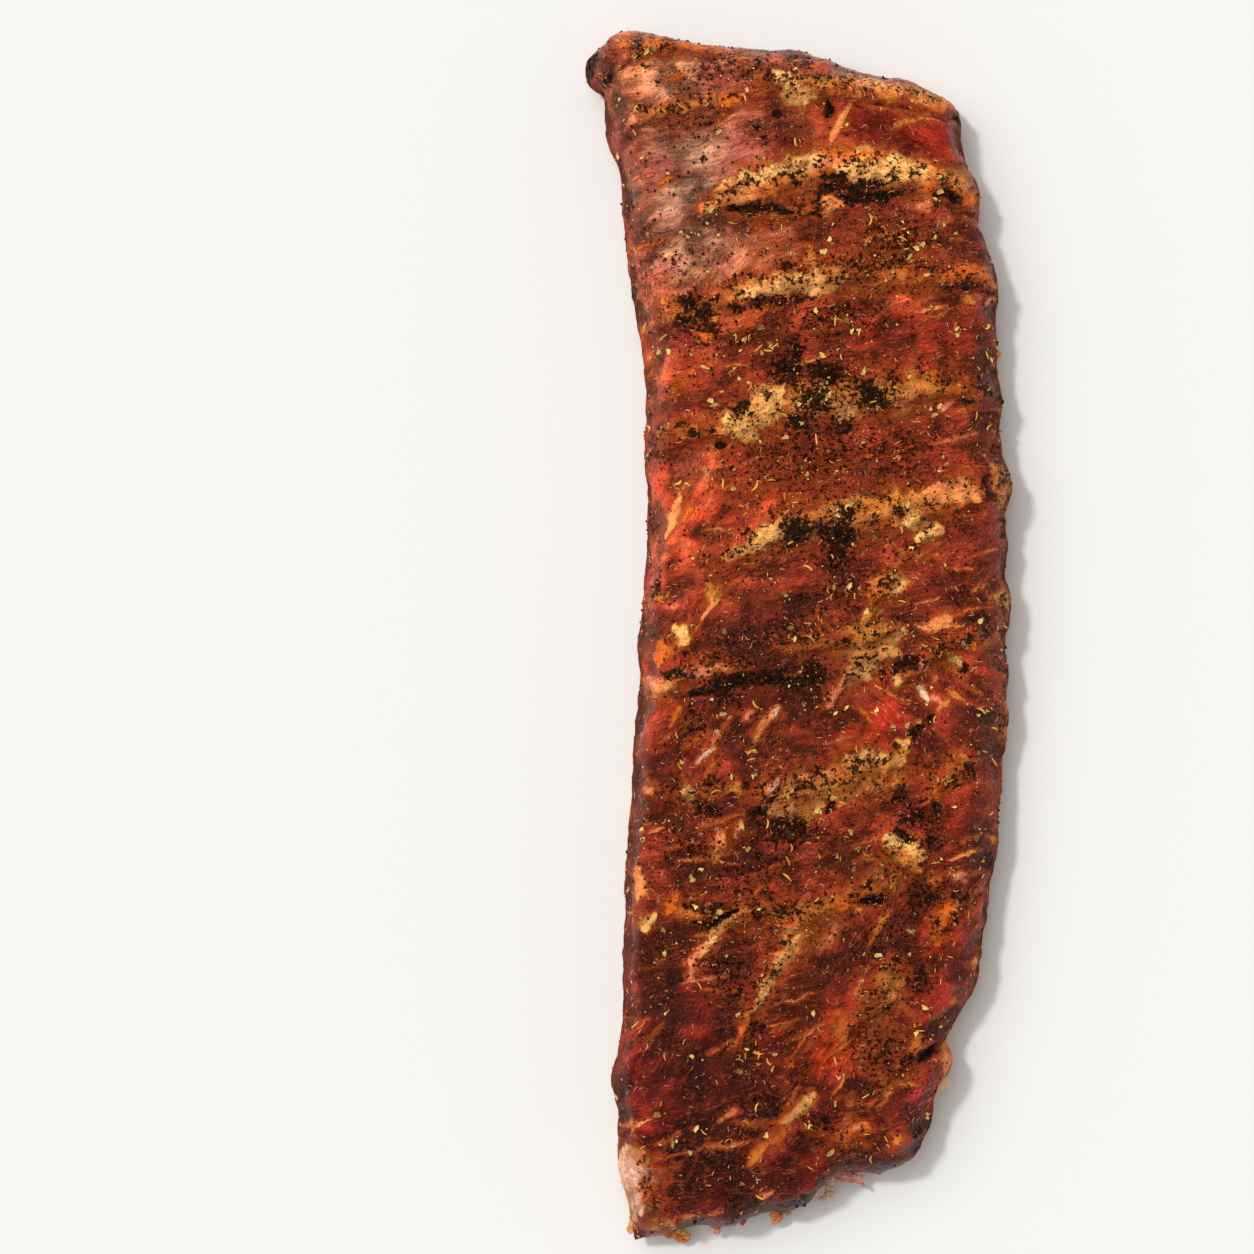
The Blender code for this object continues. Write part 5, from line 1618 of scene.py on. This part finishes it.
sweep_tree = bpy.data.node_groups.new("Rib sweep", "GeometryNodeTree")
SWEEP_INPUTS = (
    ("Line", "NodeSocketGeometry", None),
    ("Width", NUMBER, 0.013),
    ("Thickness", NUMBER, 0.009),
    ("Sides", "NodeSocketInt", 40),
    ("Finish", "NodeSocketMaterial", None),
)
given = tree_inputs(sweep_tree, SWEEP_INPUTS)
oval = add(sweep_tree, "GeometryNodeCurvePrimitiveCircle", None, Resolution=given["Sides"], Radius=0.5)
oval_size = add(sweep_tree, "ShaderNodeCombineXYZ", None, X=given["Width"], Y=given["Thickness"], Z=1.0)
oval = add(sweep_tree, "GeometryNodeTransform", None, Geometry=oval.outputs["Curve"],
    Scale=oval_size.outputs[0])
line = add(sweep_tree, "GeometryNodeMeshToCurve", None, Mesh=given["Line"])
line = add(sweep_tree, "GeometryNodeSetCurveNormal", {"mode": "Z_UP"}, Curve=line.outputs["Curve"])
full = add(sweep_tree, "GeometryNodeInputNamedAttribute", None, Name="fullness")
section = {"Profile_Curve": oval.outputs["Geometry"], "Scale": full.outputs["Attribute"],
    "Fill_Caps": True}
swept = add(sweep_tree, "GeometryNodeCurveToMesh", None, Curve=line.outputs["Curve"], **section)
smooth = add(sweep_tree, "GeometryNodeSetShadeSmooth", None, Geometry=swept.outputs["Mesh"])
whole = add(sweep_tree, "GeometryNodeRealizeInstances", None, Geometry=smooth.outputs["Geometry"])
painted = add(sweep_tree, "GeometryNodeSetMaterial", None, Geometry=whole.outputs["Geometry"],
    Material=given["Finish"])
result = sweep_tree.nodes.new("NodeGroupOutput").inputs
put(sweep_tree, result["Geometry"], painted.outputs["Geometry"])
print("tree:", sweep_tree.name)


# %% Tree helpers
def run_tree(source, tree, values, name):
    """Runs a Geometry Nodes tree on a source object and keeps the result as a plain mesh object."""
    modifier = source.modifiers.new(tree.name, "NODES")
    modifier.node_group = tree
    for item in tree.interface.items_tree:
        if item.item_type == "SOCKET" and item.in_out == "INPUT" and item.name in values:
            modifier[item.identifier] = values[item.name]
    source.update_tag()
    bpy.context.view_layer.update()
    shaped = source.evaluated_get(bpy.context.evaluated_depsgraph_get())
    mesh = bpy.data.meshes.new_from_object(shaped)
    source.modifiers.remove(modifier)
    mesh.name = name
    made = bpy.data.objects.new(name, mesh)
    scene.collection.objects.link(made)
    return made


def outline_x(y):
    """The x of the meat's right-hand outline at a station along the rack."""
    return float(np.interp(y, net[:, -1, 1], net[:, -1, 0]))


def bone_source(line):
    """A rib's line as a chain of points with their fullness and how far inside the cut they lie."""
    ends = ((0.30, 0.02, 1.0), (0.26, 0.30, 0.9), (0.20, 0.60, 0.6), (0.10, 0.86, 0.25),
        (0.0, 0.97, 0.05))
    first = (line[1] - line[0]) / np.linalg.norm(line[1] - line[0])
    last = (line[-1] - line[-2]) / np.linalg.norm(line[-1] - line[-2])
    over = max(line[-1][0] + 1.1 - outline_x(line[-1][1]), 0.0)
    line = np.array(line)
    line[-1] -= last * over
    spots = [line[0] - first * out for out, _, _ in ends]
    spots += list(line[1:-1])
    spots += [line[-1] + last * out for out, _, _ in reversed(ends)]
    middle = np.linspace(-1.0, 1.0, len(line))[1:-1]
    fullness = [full for _, full, _ in ends]
    fullness = fullness + list(1.0 + 0.08 * np.abs(middle) ** 3) + fullness[::-1]
    core = [inner for _, _, inner in ends]
    core = core + [0.0] * len(middle) + core[::-1]
    mesh = bpy.data.meshes.new("rib line")
    places = [(x * MM, y * MM, 4.5 * MM) for x, y in spots]
    mesh.from_pydata(places, [(k, k + 1) for k in range(len(places) - 1)], [])
    for name, values in (("fullness", fullness), ("core", core)):
        mesh.attributes.new(name, "FLOAT", "POINT").data.foreach_set("value", values)
    source = bpy.data.objects.new("rib line", mesh)
    scene.collection.objects.link(source)
    return source


print("tree helpers ready")

# %% Material: rib bone
bone_finish, tree, skin, place = new_finish("rib bone")
core = layer_of(tree, "core")
stain = grainy(tree, place, 0.35, 3.0, 0.6)
pores = use(tree, speck_group, Vector=place, Spacing=0.75, Size=0.24, Amount=0.8)
film = mix(tree, span(tree, stain, 0.35, 0.65), linear(206, 128, 96), linear(236, 200, 162))
smear = span(tree, grainy(tree, place, 1.4, 3.0, 0.7), 0.5, 0.66)
film = glaze(tree, film, smear, 0.5, linear(150, 70, 48))
ring = mix(tree, span(tree, stain, 0.4, 0.6), linear(238, 206, 166), linear(222, 172, 126))
marrow = mix(tree, pores["Mask"], linear(150, 56, 40), linear(84, 22, 18))
cut_face = mix(tree, span(tree, core, 0.30, 0.55), ring, marrow)
put(tree, skin.inputs["Base Color"], mix(tree, span(tree, core, 0.0, 0.06), film, cut_face))
put(tree, skin.inputs["Roughness"], span(tree, stain, 0.3, 0.7, 0.28, 0.5))
skin.inputs["IOR"].default_value = 1.45
height = scaled(tree, pores["Mask"], times(tree, core, -0.35), times(tree, stain, 0.4))
bump(tree, skin, 0.8, height)
print(len(tree.nodes), "nodes in the bone's finish")

# %% Make the ten bones
# The bones rest flat: nothing dips below this height over the table.
TABLE_GAP = 0.05 * MM
BONE_VALUES = {"Width": 0.0130, "Thickness": 0.0090, "Sides": 40, "Finish": bone_finish}
for name, line in zip(BONE_NAMES, RIB_LINES):
    source = bone_source(line)
    bone = run_tree(source, sweep_tree, BONE_VALUES, "ribs_" + name)
    bpy.data.objects.remove(source)
    for corner in bone.data.vertices:
        corner.co.z = max(corner.co.z, TABLE_GAP)
    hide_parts(name)
    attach(bone, "root")
print("bone thickness", (bone.dimensions.z / MM), "mm,", len(bone.data.polygons), "faces each")

# %% [markdown]
# ## Loose spice and herbs
# Coarse pepper, crumbs of crust, dried herb flakes, stalks and chilli lie on the meat. Each kind
# is one piece. Geometry Nodes throw points over the meat with a painted density, put one of a few
# small shapes on each point, turn and size it at random, and then make it all real mesh.


# %% Small shapes
def small_object(name, points, faces):
    """A small shape that the scatter trees pick from."""
    mesh = bpy.data.meshes.new(name)
    mesh.from_pydata([tuple(float(c) for c in point) for point in points], [], faces)
    return bpy.data.objects.new(name, mesh)


def granule(name, seed, lumpiness=0.28, flatness=0.75):
    """A rough grain about 1 mm across, with twenty faces."""
    golden = (1 + 5**0.5) / 2
    corners = [(s1, s2 * golden, 0) for s1 in (-1, 1) for s2 in (-1, 1)]
    corners = corners + [(0, a, b) for a, b, _ in corners] + [(b, 0, a) for a, b, _ in corners]
    points = np.array(corners, float)
    points /= np.linalg.norm(points, axis=1, keepdims=True)
    rng = np.random.default_rng(seed)
    hull = [tuple(int(k) for k in face) for face in convex_faces(points)]
    points *= 0.5 * MM * (1.0 + rng.uniform(-lumpiness, lumpiness, (len(points), 1)))
    points *= (1.0, rng.uniform(0.6, 1.0), flatness)
    return small_object(name, points, hull)


def convex_faces(points):
    """The triangles of the hull of evenly spread points, facing outwards."""
    found = []
    count = len(points)
    for a in range(count):
        for b in range(a + 1, count):
            for c in range(b + 1, count):
                normal = np.cross(points[b] - points[a], points[c] - points[a])
                sides = (points - points[a]) @ normal
                if np.all(sides < 1e-6):
                    found.append((a, b, c))
                elif np.all(sides > -1e-6):
                    found.append((a, c, b))
    return found


print("helpers: small_object, granule and convex_faces")


# %% Leaves, stalks and threads
def leaf_bit(name, seed, corners=7, curl=0.5):
    """A torn bit of dried leaf about 1 mm across: a thin curled plate with a ragged edge."""
    rng = np.random.default_rng(seed)
    turns = np.linspace(0, 2 * np.pi, corners, endpoint=False) + rng.uniform(-0.25, 0.25, corners)
    reach = rng.uniform(0.20, 0.58, corners)
    x = reach * np.cos(turns)
    y = 0.7 * reach * np.sin(turns)
    z = curl * (x**2 * rng.uniform(0.5, 2.0) - y**2) + rng.uniform(-0.09, 0.09, corners)
    top = np.stack([x, y, z + 0.05], axis=1)
    points = np.vstack([top, top - (0, 0, 0.09), [[0.0, 0.0, 0.03]], [[0.0, 0.0, -0.07]]]) * MM
    faces = []
    for k in range(corners):
        after = (k + 1) % corners
        low, low_after = k + corners, after + corners
        faces += [(k, after, 2 * corners), (low_after, low, 2 * corners + 1), (low, low_after, after, k)]
    return small_object(name, points, faces)


def stalk(name, seed, thickness=0.085):
    """A bent bit of dried stalk, 1 mm long, with four sides."""
    rng = np.random.default_rng(seed)
    bend = rng.uniform(-0.22, 0.22)
    points = []
    for t in np.linspace(-0.5, 0.5, 5):
        wide = thickness * (1.0 - 0.5 * abs(2 * t) ** 3)
        middle = np.array((t, bend * (4 * t * t - 1), 0.03))
        points += [middle + wide * np.array(side)
            for side in ((0, 1, 0), (0, 0, 1), (0, -1, 0), (0, 0, -1))]
    faces = [(0, 3, 2, 1), (16, 17, 18, 19)]
    for ring in range(4):
        for side in range(4):
            a, b = 4 * ring + side, 4 * ring + (side + 1) % 4
            faces.append((a, b, b + 4, a + 4))
    return small_object(name, np.array(points) * MM, faces)


def thread(name, seed, thickness=0.05):
    """A very thin bent thread, 1 mm long, with three sides and closed ends."""
    rng = np.random.default_rng(seed)
    bend = rng.uniform(-0.25, 0.25)
    points = []
    for t in (-0.5, 0.0, 0.5):
        middle = np.array((t, bend * (4 * t * t - 1), 0.01))
        points += [middle + thickness * np.array(side)
            for side in ((0, 1, 0), (0, -0.5, 0.8), (0, -0.5, -0.8))]
    faces = [(0, 2, 1), (6, 7, 8)]
    for ring in (0, 3):
        faces += [(ring + k, ring + (k + 1) % 3, ring + 3 + (k + 1) % 3, ring + 3 + k) for k in range(3)]
    return small_object(name, np.array(points) * MM, faces)


print("helpers: leaf_bit, stalk and thread")


# %% Kits of shapes
def kit(name, things):
    """A collection of small shapes that isn't part of the scene."""
    collection = bpy.data.collections.new(name)
    for thing in things:
        collection.objects.link(thing)
    return collection


grit_kit = kit("grit shapes", [granule(f"grit {k}", 200 + k) for k in range(4)])
herb_kit = kit("herb shapes", [leaf_bit(f"herb {k}", 220 + k, 6 + k % 3) for k in range(5)])
thread_kit = kit("thread shapes", [thread(f"thread {k}", 260 + k) for k in range(5)])
stalk_kit = kit("stalk shapes", [stalk(f"stalk {k}", 240 + k) for k in range(4)])

# %% Scatter tree
scatter_tree = bpy.data.node_groups.new("Spice scatter", "GeometryNodeTree")
SCATTER_INPUTS = (
    ("Meat", "NodeSocketGeometry", None),
    ("Per square metre", NUMBER, 1000.0),
    ("Layer", "NodeSocketString", "pepper"),
    ("Smallest", NUMBER, 0.5),
    ("Largest", NUMBER, 1.0),
    ("Tilt", NUMBER, 0.5),
    ("Seed", "NodeSocketInt", 1),
    ("Shapes", "NodeSocketCollection", None),
    ("Finish", "NodeSocketMaterial", None),
)
given = tree_inputs(scatter_tree, SCATTER_INPUTS)
painted = add(scatter_tree, "GeometryNodeInputNamedAttribute", None, Name=given["Layer"])
density = times(scatter_tree, painted.outputs["Attribute"], given["Per square metre"])
thrown = add(scatter_tree, "GeometryNodeDistributePointsOnFaces", None, Mesh=given["Meat"],
    Density=density, Seed=given["Seed"])
back = times(scatter_tree, given["Tilt"], -1.0)
least_turn = add(scatter_tree, "ShaderNodeCombineXYZ", None, X=back, Y=back, Z=-math.pi)
most_turn = add(scatter_tree, "ShaderNodeCombineXYZ", None, X=given["Tilt"], Y=given["Tilt"], Z=math.pi)
turn = add(scatter_tree, "FunctionNodeRandomValue", {"data_type": "FLOAT_VECTOR"})
put(scatter_tree, turn.inputs[0], least_turn.outputs[0])
put(scatter_tree, turn.inputs[1], most_turn.outputs[0])
put(scatter_tree, turn.inputs["Seed"], given["Seed"])
turned = add(scatter_tree, "FunctionNodeRotateRotation", {"rotation_space": "LOCAL"})
put(scatter_tree, turned.inputs["Rotation"], thrown.outputs["Rotation"])
put(scatter_tree, turned.inputs["Rotate By"], turn.outputs[0])
size = add(scatter_tree, "FunctionNodeRandomValue", {"data_type": "FLOAT"})
put(scatter_tree, size.inputs[2], 0.0)
put(scatter_tree, size.inputs[3], 1.0)
put(scatter_tree, size.inputs["Seed"], 7)
spread = calc(scatter_tree, "SUBTRACT", given["Largest"], given["Smallest"])
size = scaled(scatter_tree, calc(scatter_tree, "POWER", size.outputs[1], 2.0), spread, given["Smallest"])
one_by_one = {"Separate_Children": True, "Reset_Children": True}
shapes = add(scatter_tree, "GeometryNodeCollectionInfo", None, Collection=given["Shapes"], **one_by_one)
pose = {"Rotation": turned.outputs[0], "Scale": size}
placed = add(
    scatter_tree,
    "GeometryNodeInstanceOnPoints",
    None,
    Points=thrown.outputs["Points"],
    Instance=shapes.outputs[0],
    Pick_Instance=True,
    **pose,
)
chance = add(scatter_tree, "FunctionNodeRandomValue", {"data_type": "FLOAT"})
put(scatter_tree, chance.inputs["Seed"], 9)
one_each = {"data_type": "FLOAT", "domain": "INSTANCE"}
toned = add(scatter_tree, "GeometryNodeStoreNamedAttribute", one_each, Geometry=placed.outputs[0],
    Name="shade")
value = next(socket for socket in toned.inputs if socket.name == "Value" and socket.enabled)
put(scatter_tree, value, chance.outputs[1])
whole = add(scatter_tree, "GeometryNodeRealizeInstances", None, Geometry=toned.outputs[0])
finished = add(scatter_tree, "GeometryNodeSetMaterial", None, Geometry=whole.outputs[0],
    Material=given["Finish"])
put(scatter_tree, scatter_tree.nodes.new("NodeGroupOutput").inputs["Geometry"], finished.outputs[0])
print("tree:", scatter_tree.name)

# %% [markdown]
# ## Where the spice lies
# Herbs were sprinkled by hand, so they lie in loose clusters. The bigger clusters are listed, and
# each adds a small peak to the density. Grit follows the crust and the dirty bands.

# %% Density layers
HERB_PLACES = (
    (-35, 78), (-27, 75), (-20, 75), (-12, 78), (-17.5, 73), (-18, 87.5), (-16, 83), (-8.5, 80), (10, 88),
    (24, 87),
    (36, 103), (19, 111), (28.5, 111), (22, 107), (38, 111), (9, 114), (26, 112), (44, 86), (6, 79),
    (11, 79),
    (-23, 48), (-16, 43), (-33, 41.5), (0, 46), (9, 46), (-3, 37), (8, 34), (12, 36), (-11, 54),
    (28, 49.5), (41, 48),
    (39, 45.5), (38, 62), (32, 57), (8.5, 13), (15, 13), (-3, 2), (5, 4), (-8, 16), (2, -20), (-24, -18),
    (-16.5, -15),
    (-32.5, -36), (-14, -32), (11, -20.5), (50, -20.5), (-1, -63), (-27, -64), (-13, -59), (33, -78.5),
    (32, -81.5),
    (23, -90.5), (6, -92.5), (35, -101), (42, -102.5), (33, -108), (42, -109), (-38, -99), (-17, -104),
    (-17, -117.5),
    (-11, -114), (-12, -117.5), (-9, -119), (-39, -132), (-34, -142), (-19.5, -141), (-28, -136),
    (17, -123), (24, -141),
    (2.5, -135.5), (31, 2), (-42, 163), (-30, 160), (-22, 128), (46, 140), (30, 141), (20, 116),
    (33, 108), (30, 104),
)
sprinkle = 0.22 + 0.30 * np.clip(layered(X, Y, 16.0, 111), 0, 1)
for x, y in HERB_PLACES:
    sprinkle += 5.0 * np.exp(-((X - x) ** 2 + (Y - y) ** 2) / 2.4)
flat_part = np.clip(np.minimum.reduce([to_left, to_right, to_tail, to_head]) / 2.0, 0.05, 1.0)
grit = 0.20 + 0.60 * crust_and_shade_body + 0.14 * fat_body + 0.25 * layered(X, Y, 9.0, 112)
grit = np.clip(grit + 0.25 * np.clip(rub_share, 0, 1), 0.02, 1.0)
barer_tail = 1.0 - 0.35 * low_part
strewn = np.clip(0.55 + 0.6 * layered(X, Y, 11.0, 113) - 0.3 * crust_and_shade_body, 0.1, 1.0)
add_layer(meat_mesh, "sprinkle", sprinkle * flat_part * (1.0 - 0.5 * red_panel) * barer_tail)
add_layer(meat_mesh, "everywhere", barer_tail * strewn * flat_part)
add_layer(meat_mesh, "grit", grit * clean * (1.0 - 0.42 * low_part))
add_layer(meat_mesh, "caked", np.clip(1.6 * crust_and_shade_body - 0.35, 0.0, 1.0) * flat_part)
print("herb clusters:", len(HERB_PLACES))


# %% Spice finishes
def spice_finish(name, dark, light, roughness, sheen=0.12):
    """A dull finish that runs from one colour to the other by each bit's own chance."""
    material, tree, skin, place = new_finish(name)
    speckle = grainy(tree, place, 2.6, 3.0, 0.7)
    share = calc(tree, "ADD", layer_of(tree, "shade"), scaled(tree, speckle, 1.4, -0.7), clamp=True)
    put(tree, skin.inputs["Base Color"], mix(tree, share, dark, light))
    skin.inputs["Roughness"].default_value = roughness
    skin.inputs["Specular IOR Level"].default_value = sheen
    bump(tree, skin, 0.7, times(tree, speckle, 0.3))
    return material


KINDS = (
    # Name, shapes, layer, per square metre, smallest, largest, tilt, seed.
    ("pepper_grit", grit_kit, "grit", 135000, 0.35, 1.45, 1.2, 3),
    ("crust_crumbs", grit_kit, "caked", 260000, 0.60, 2.30, 1.2, 5),
    ("spice_granules", grit_kit, "grit", 120000, 0.28, 0.80, 1.2, 11),
    ("herb_flakes", herb_kit, "sprinkle", 50000, 0.70, 3.10, 0.45, 17),
    ("herb_stalks", stalk_kit, "sprinkle", 24000, 1.10, 3.40, 0.30, 23),
    # The pale fine threads are partly bits of fibre and partly painted glints.
    ("fine_threads", thread_kit, "everywhere", 190000, 0.50, 1.70, 0.15, 31),
    ("chilli_bits", herb_kit, "sprinkle", 9000, 0.60, 1.60, 0.35, 29),
)
SPICE_TONES = {
    # Dark colour, light colour, roughness.
    "pepper_grit": ((30, 17, 10), (84, 50, 28), 0.50),
    "crust_crumbs": ((22, 14, 10), (62, 40, 26), 0.55),
    "spice_granules": ((176, 98, 34), (255, 196, 110), 0.40),
    "herb_flakes": ((112, 78, 26), (240, 204, 116), 0.35),
    "herb_stalks": ((190, 112, 26), (255, 196, 92), 0.40),
    # Pale tones for the fine threads, partly painted glints.
    "fine_threads": ((206, 116, 76), (255, 206, 160), 0.30),
    "chilli_bits": ((190, 72, 20), (240, 140, 48), 0.35),
}
for name, shapes, layer, amount, smallest, largest, tilt, seed in KINDS:
    dark, light, roughness = SPICE_TONES[name]
    finish = spice_finish(name.replace("_", " "), linear(*dark), linear(*light), roughness)
    carrier = bpy.data.objects.new("carrier", meat_mesh)
    scene.collection.objects.link(carrier)
    values = {"Per square metre": float(amount), "Layer": layer, "Smallest": smallest, "Largest": largest,
              "Tilt": tilt, "Seed": seed, "Shapes": shapes, "Finish": finish}
    bits = run_tree(carrier, scatter_tree, values, name)
    bpy.data.objects.remove(carrier)
    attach(bits, "root")
    bits.data.calc_loop_triangles()
    print(name, len(bits.data.loop_triangles), "triangles")
for collection in (grit_kit, herb_kit, stalk_kit, thread_kit):
    for thing in list(collection.objects):
        bpy.data.objects.remove(thing)
    bpy.data.collections.remove(collection)

# %% [markdown]
# ## Torn shreds
# At the tail and along the sides, small flaps of fat and membrane hang from the cut. Each is a
# flattened tube with a ragged width, swept along a few points, and closed at both ends.


# %% Shreds
RINGS = 20
SIDES = 10
SHRED_POINTS = RINGS * SIDES
# Tone, half width, thickness, then the points in millimetres.
SHREDS = (
    ((232, 138, 126), 1.3, 0.9, ((8, -149, 9), (11, -151, 8.5), (14, -151.6, 8), (16.5, -152.6, 7),
    (19, -155, 5.5))),
    ((236, 150, 134), 0.6, 0.5, ((14, -151.6, 8.4), (17, -151.8, 8.2), (18.5, -151.2, 7.8))),
    ((248, 200, 172), 0.9, 0.5, ((8, -150.5, 9), (9, -154, 7), (8.6, -157, 5.5), (6.6, -158.4, 5),
    (4.6, -157.4, 6), (5, -154.5, 7.6))),
    ((226, 120, 48), 1.9, 1.2, ((-39, -164.5, 8), (-36, -167.5, 6.5), (-33, -169, 5),
    (-30.5, -169.3, 4))),
    ((236, 160, 84), 1.2, 0.9, ((-34, -166, 7.5), (-31.5, -168.4, 6), (-31, -169.3, 4.5))),
    ((230, 128, 58), 1.5, 1.0, ((-9.5, -159.5, 8), (-6.5, -161.5, 7), (-6.2, -163.5, 5.5),
    (-7.4, -165.4, 4.5))),
    ((238, 176, 104), 0.9, 0.8, ((-4.5, -160, 7.5), (-3, -161.8, 6), (-3.5, -163, 5))),
    ((214, 96, 62), 1.1, 0.9, ((19, -147.5, 8), (21.5, -149.6, 7), (23, -151.2, 6))),
    ((206, 74, 44), 1.0, 0.8, ((-17, -161.5, 7.5), (-15.5, -164, 6), (-16, -165.6, 5))),
    ((226, 124, 70), 0.9, 0.8, ((-24, -164.5, 7.5), (-22.5, -166.6, 6), (-23.5, -168, 5))),
    ((240, 170, 96), 1.1, 0.9, ((-46, -163.5, 8), (-47.4, -166, 6.5), (-47.2, -168, 5))),
    ((236, 150, 70), 1.0, 1.0, ((54.2, 77.6, 10), (55.6, 79, 9.5), (55.4, 80.6, 9))),
    ((232, 140, 80), 0.9, 0.8, ((53.5, -24.5, 9), (56.5, -26, 8), (57.8, -27.6, 7))),
    ((240, 170, 110), 0.8, 0.7, ((51.5, -57, 9), (54.2, -57.6, 8), (55, -59, 7))),
    ((222, 110, 60), 0.9, 0.8, ((-47.8, 139, 9), (-50, 138, 8), (-50.6, 136.4, 7))),
)


def shred(path, half_width, thickness, seed):
    """The points and faces of one ragged ribbon."""
    rng = np.random.default_rng(seed)
    knots = np.array(path, float)
    t = np.linspace(0, len(knots) - 1, RINGS)
    middle = np.stack([np.interp(t, range(len(knots)), knots[:, k]) for k in range(3)], axis=1)
    for _ in range(4):
        middle[1:-1] = (middle[:-2] + 2 * middle[1:-1] + middle[2:]) / 4
    run = np.gradient(middle, axis=0)
    side = np.stack([-run[:, 1], run[:, 0], 0.35 * np.hypot(run[:, 0], run[:, 1])], axis=1)
    side /= np.linalg.norm(side, axis=1, keepdims=True)
    up = np.cross(run, side)
    up /= np.linalg.norm(up, axis=1, keepdims=True)
    share = np.linspace(0, 1, RINGS)
    ragged_edge = 1.0 + 0.28 * np.sin(7 * share + seed) + rng.uniform(-0.14, 0.14, RINGS)
    width = half_width * (1.0 - 0.75 * share**2.5) * ragged_edge
    width[-1] *= 0.25
    turns = np.linspace(0, 2 * np.pi, SIDES, endpoint=False)
    rings = middle[:, None] + side[:, None] * (width[:, None] * np.cos(turns))[..., None]
    rings = rings + up[:, None] * (0.5 * thickness * (1.0 - 0.5 * share[:, None]) * np.sin(turns))[...,
        None]
    faces = [tuple(reversed(range(SIDES))), tuple(range(SHRED_POINTS - SIDES, SHRED_POINTS))]
    for first in range(0, SHRED_POINTS - SIDES, SIDES):
        for k in range(SIDES):
            after = (k + 1) % SIDES
            faces.append((first + k, first + after, first + SIDES + after, first + SIDES + k))
    return rings.reshape(-1, 3), faces


shred_points, shred_faces, shred_tones = [], [], []
for number, (tone, half_width, thickness, path) in enumerate(SHREDS):
    points, faces = shred(path, 1.35 * half_width, 1.2 * thickness, 300 + number)
    shred_faces += [tuple(k + SHRED_POINTS * number for k in face) for face in faces]
    shred_points.append(points)
    darkening = 1.0 - 0.35 * np.linspace(1, 0, SHRED_POINTS)[:, None]
    shred_tones.append(np.tile(linear(*tone) + (1.0,), (SHRED_POINTS, 1)) * darkening)
shred_mesh = bpy.data.meshes.new("ribs_shreds")
shred_mesh.from_pydata((np.vstack(shred_points) * MM).tolist(), [], shred_faces)
shred_layer = shred_mesh.attributes.new("tone", "FLOAT_COLOR", "POINT")
shred_layer.data.foreach_set("color", np.vstack(shred_tones).astype(np.float32).ravel())
shred_mesh.shade_smooth()
tidy = bmesh.new()
tidy.from_mesh(shred_mesh)
bmesh.ops.recalc_face_normals(tidy, faces=tidy.faces)
tidy.to_mesh(shred_mesh)
tidy.free()
shreds = bpy.data.objects.new("ribs_shreds", shred_mesh)
scene.collection.objects.link(shreds)
print(len(SHREDS), "shreds,", len(shred_mesh.polygons), "faces")

# %% Material: torn shreds
shred_finish, tree, skin, place = new_finish("torn shreds")
threads = grainy(tree, place, 0.9, 3.0, 0.65)
flesh = shaded(tree, layer_of(tree, "tone", "Color"), span(tree, threads, 0.32, 0.68, 0.62, 1.18))
flesh = glaze(tree, flesh, span(tree, threads, 0.56, 0.68), 0.5, linear(255, 214, 176))
flesh = glaze(tree, flesh, span(tree, threads, 0.42, 0.34), 0.5, linear(120, 44, 24))
put(tree, skin.inputs["Base Color"], flesh)
put(tree, skin.inputs["Roughness"], span(tree, threads, 0.35, 0.65, 0.22, 0.42))
skin.inputs["IOR"].default_value = 1.42
skin.inputs["Specular IOR Level"].default_value = 0.30
bump(tree, skin, 0.8, times(tree, threads, 0.9))
shred_mesh.materials.append(shred_finish)
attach(shreds, "root")
print(len(tree.nodes), "nodes in the shreds' finish")
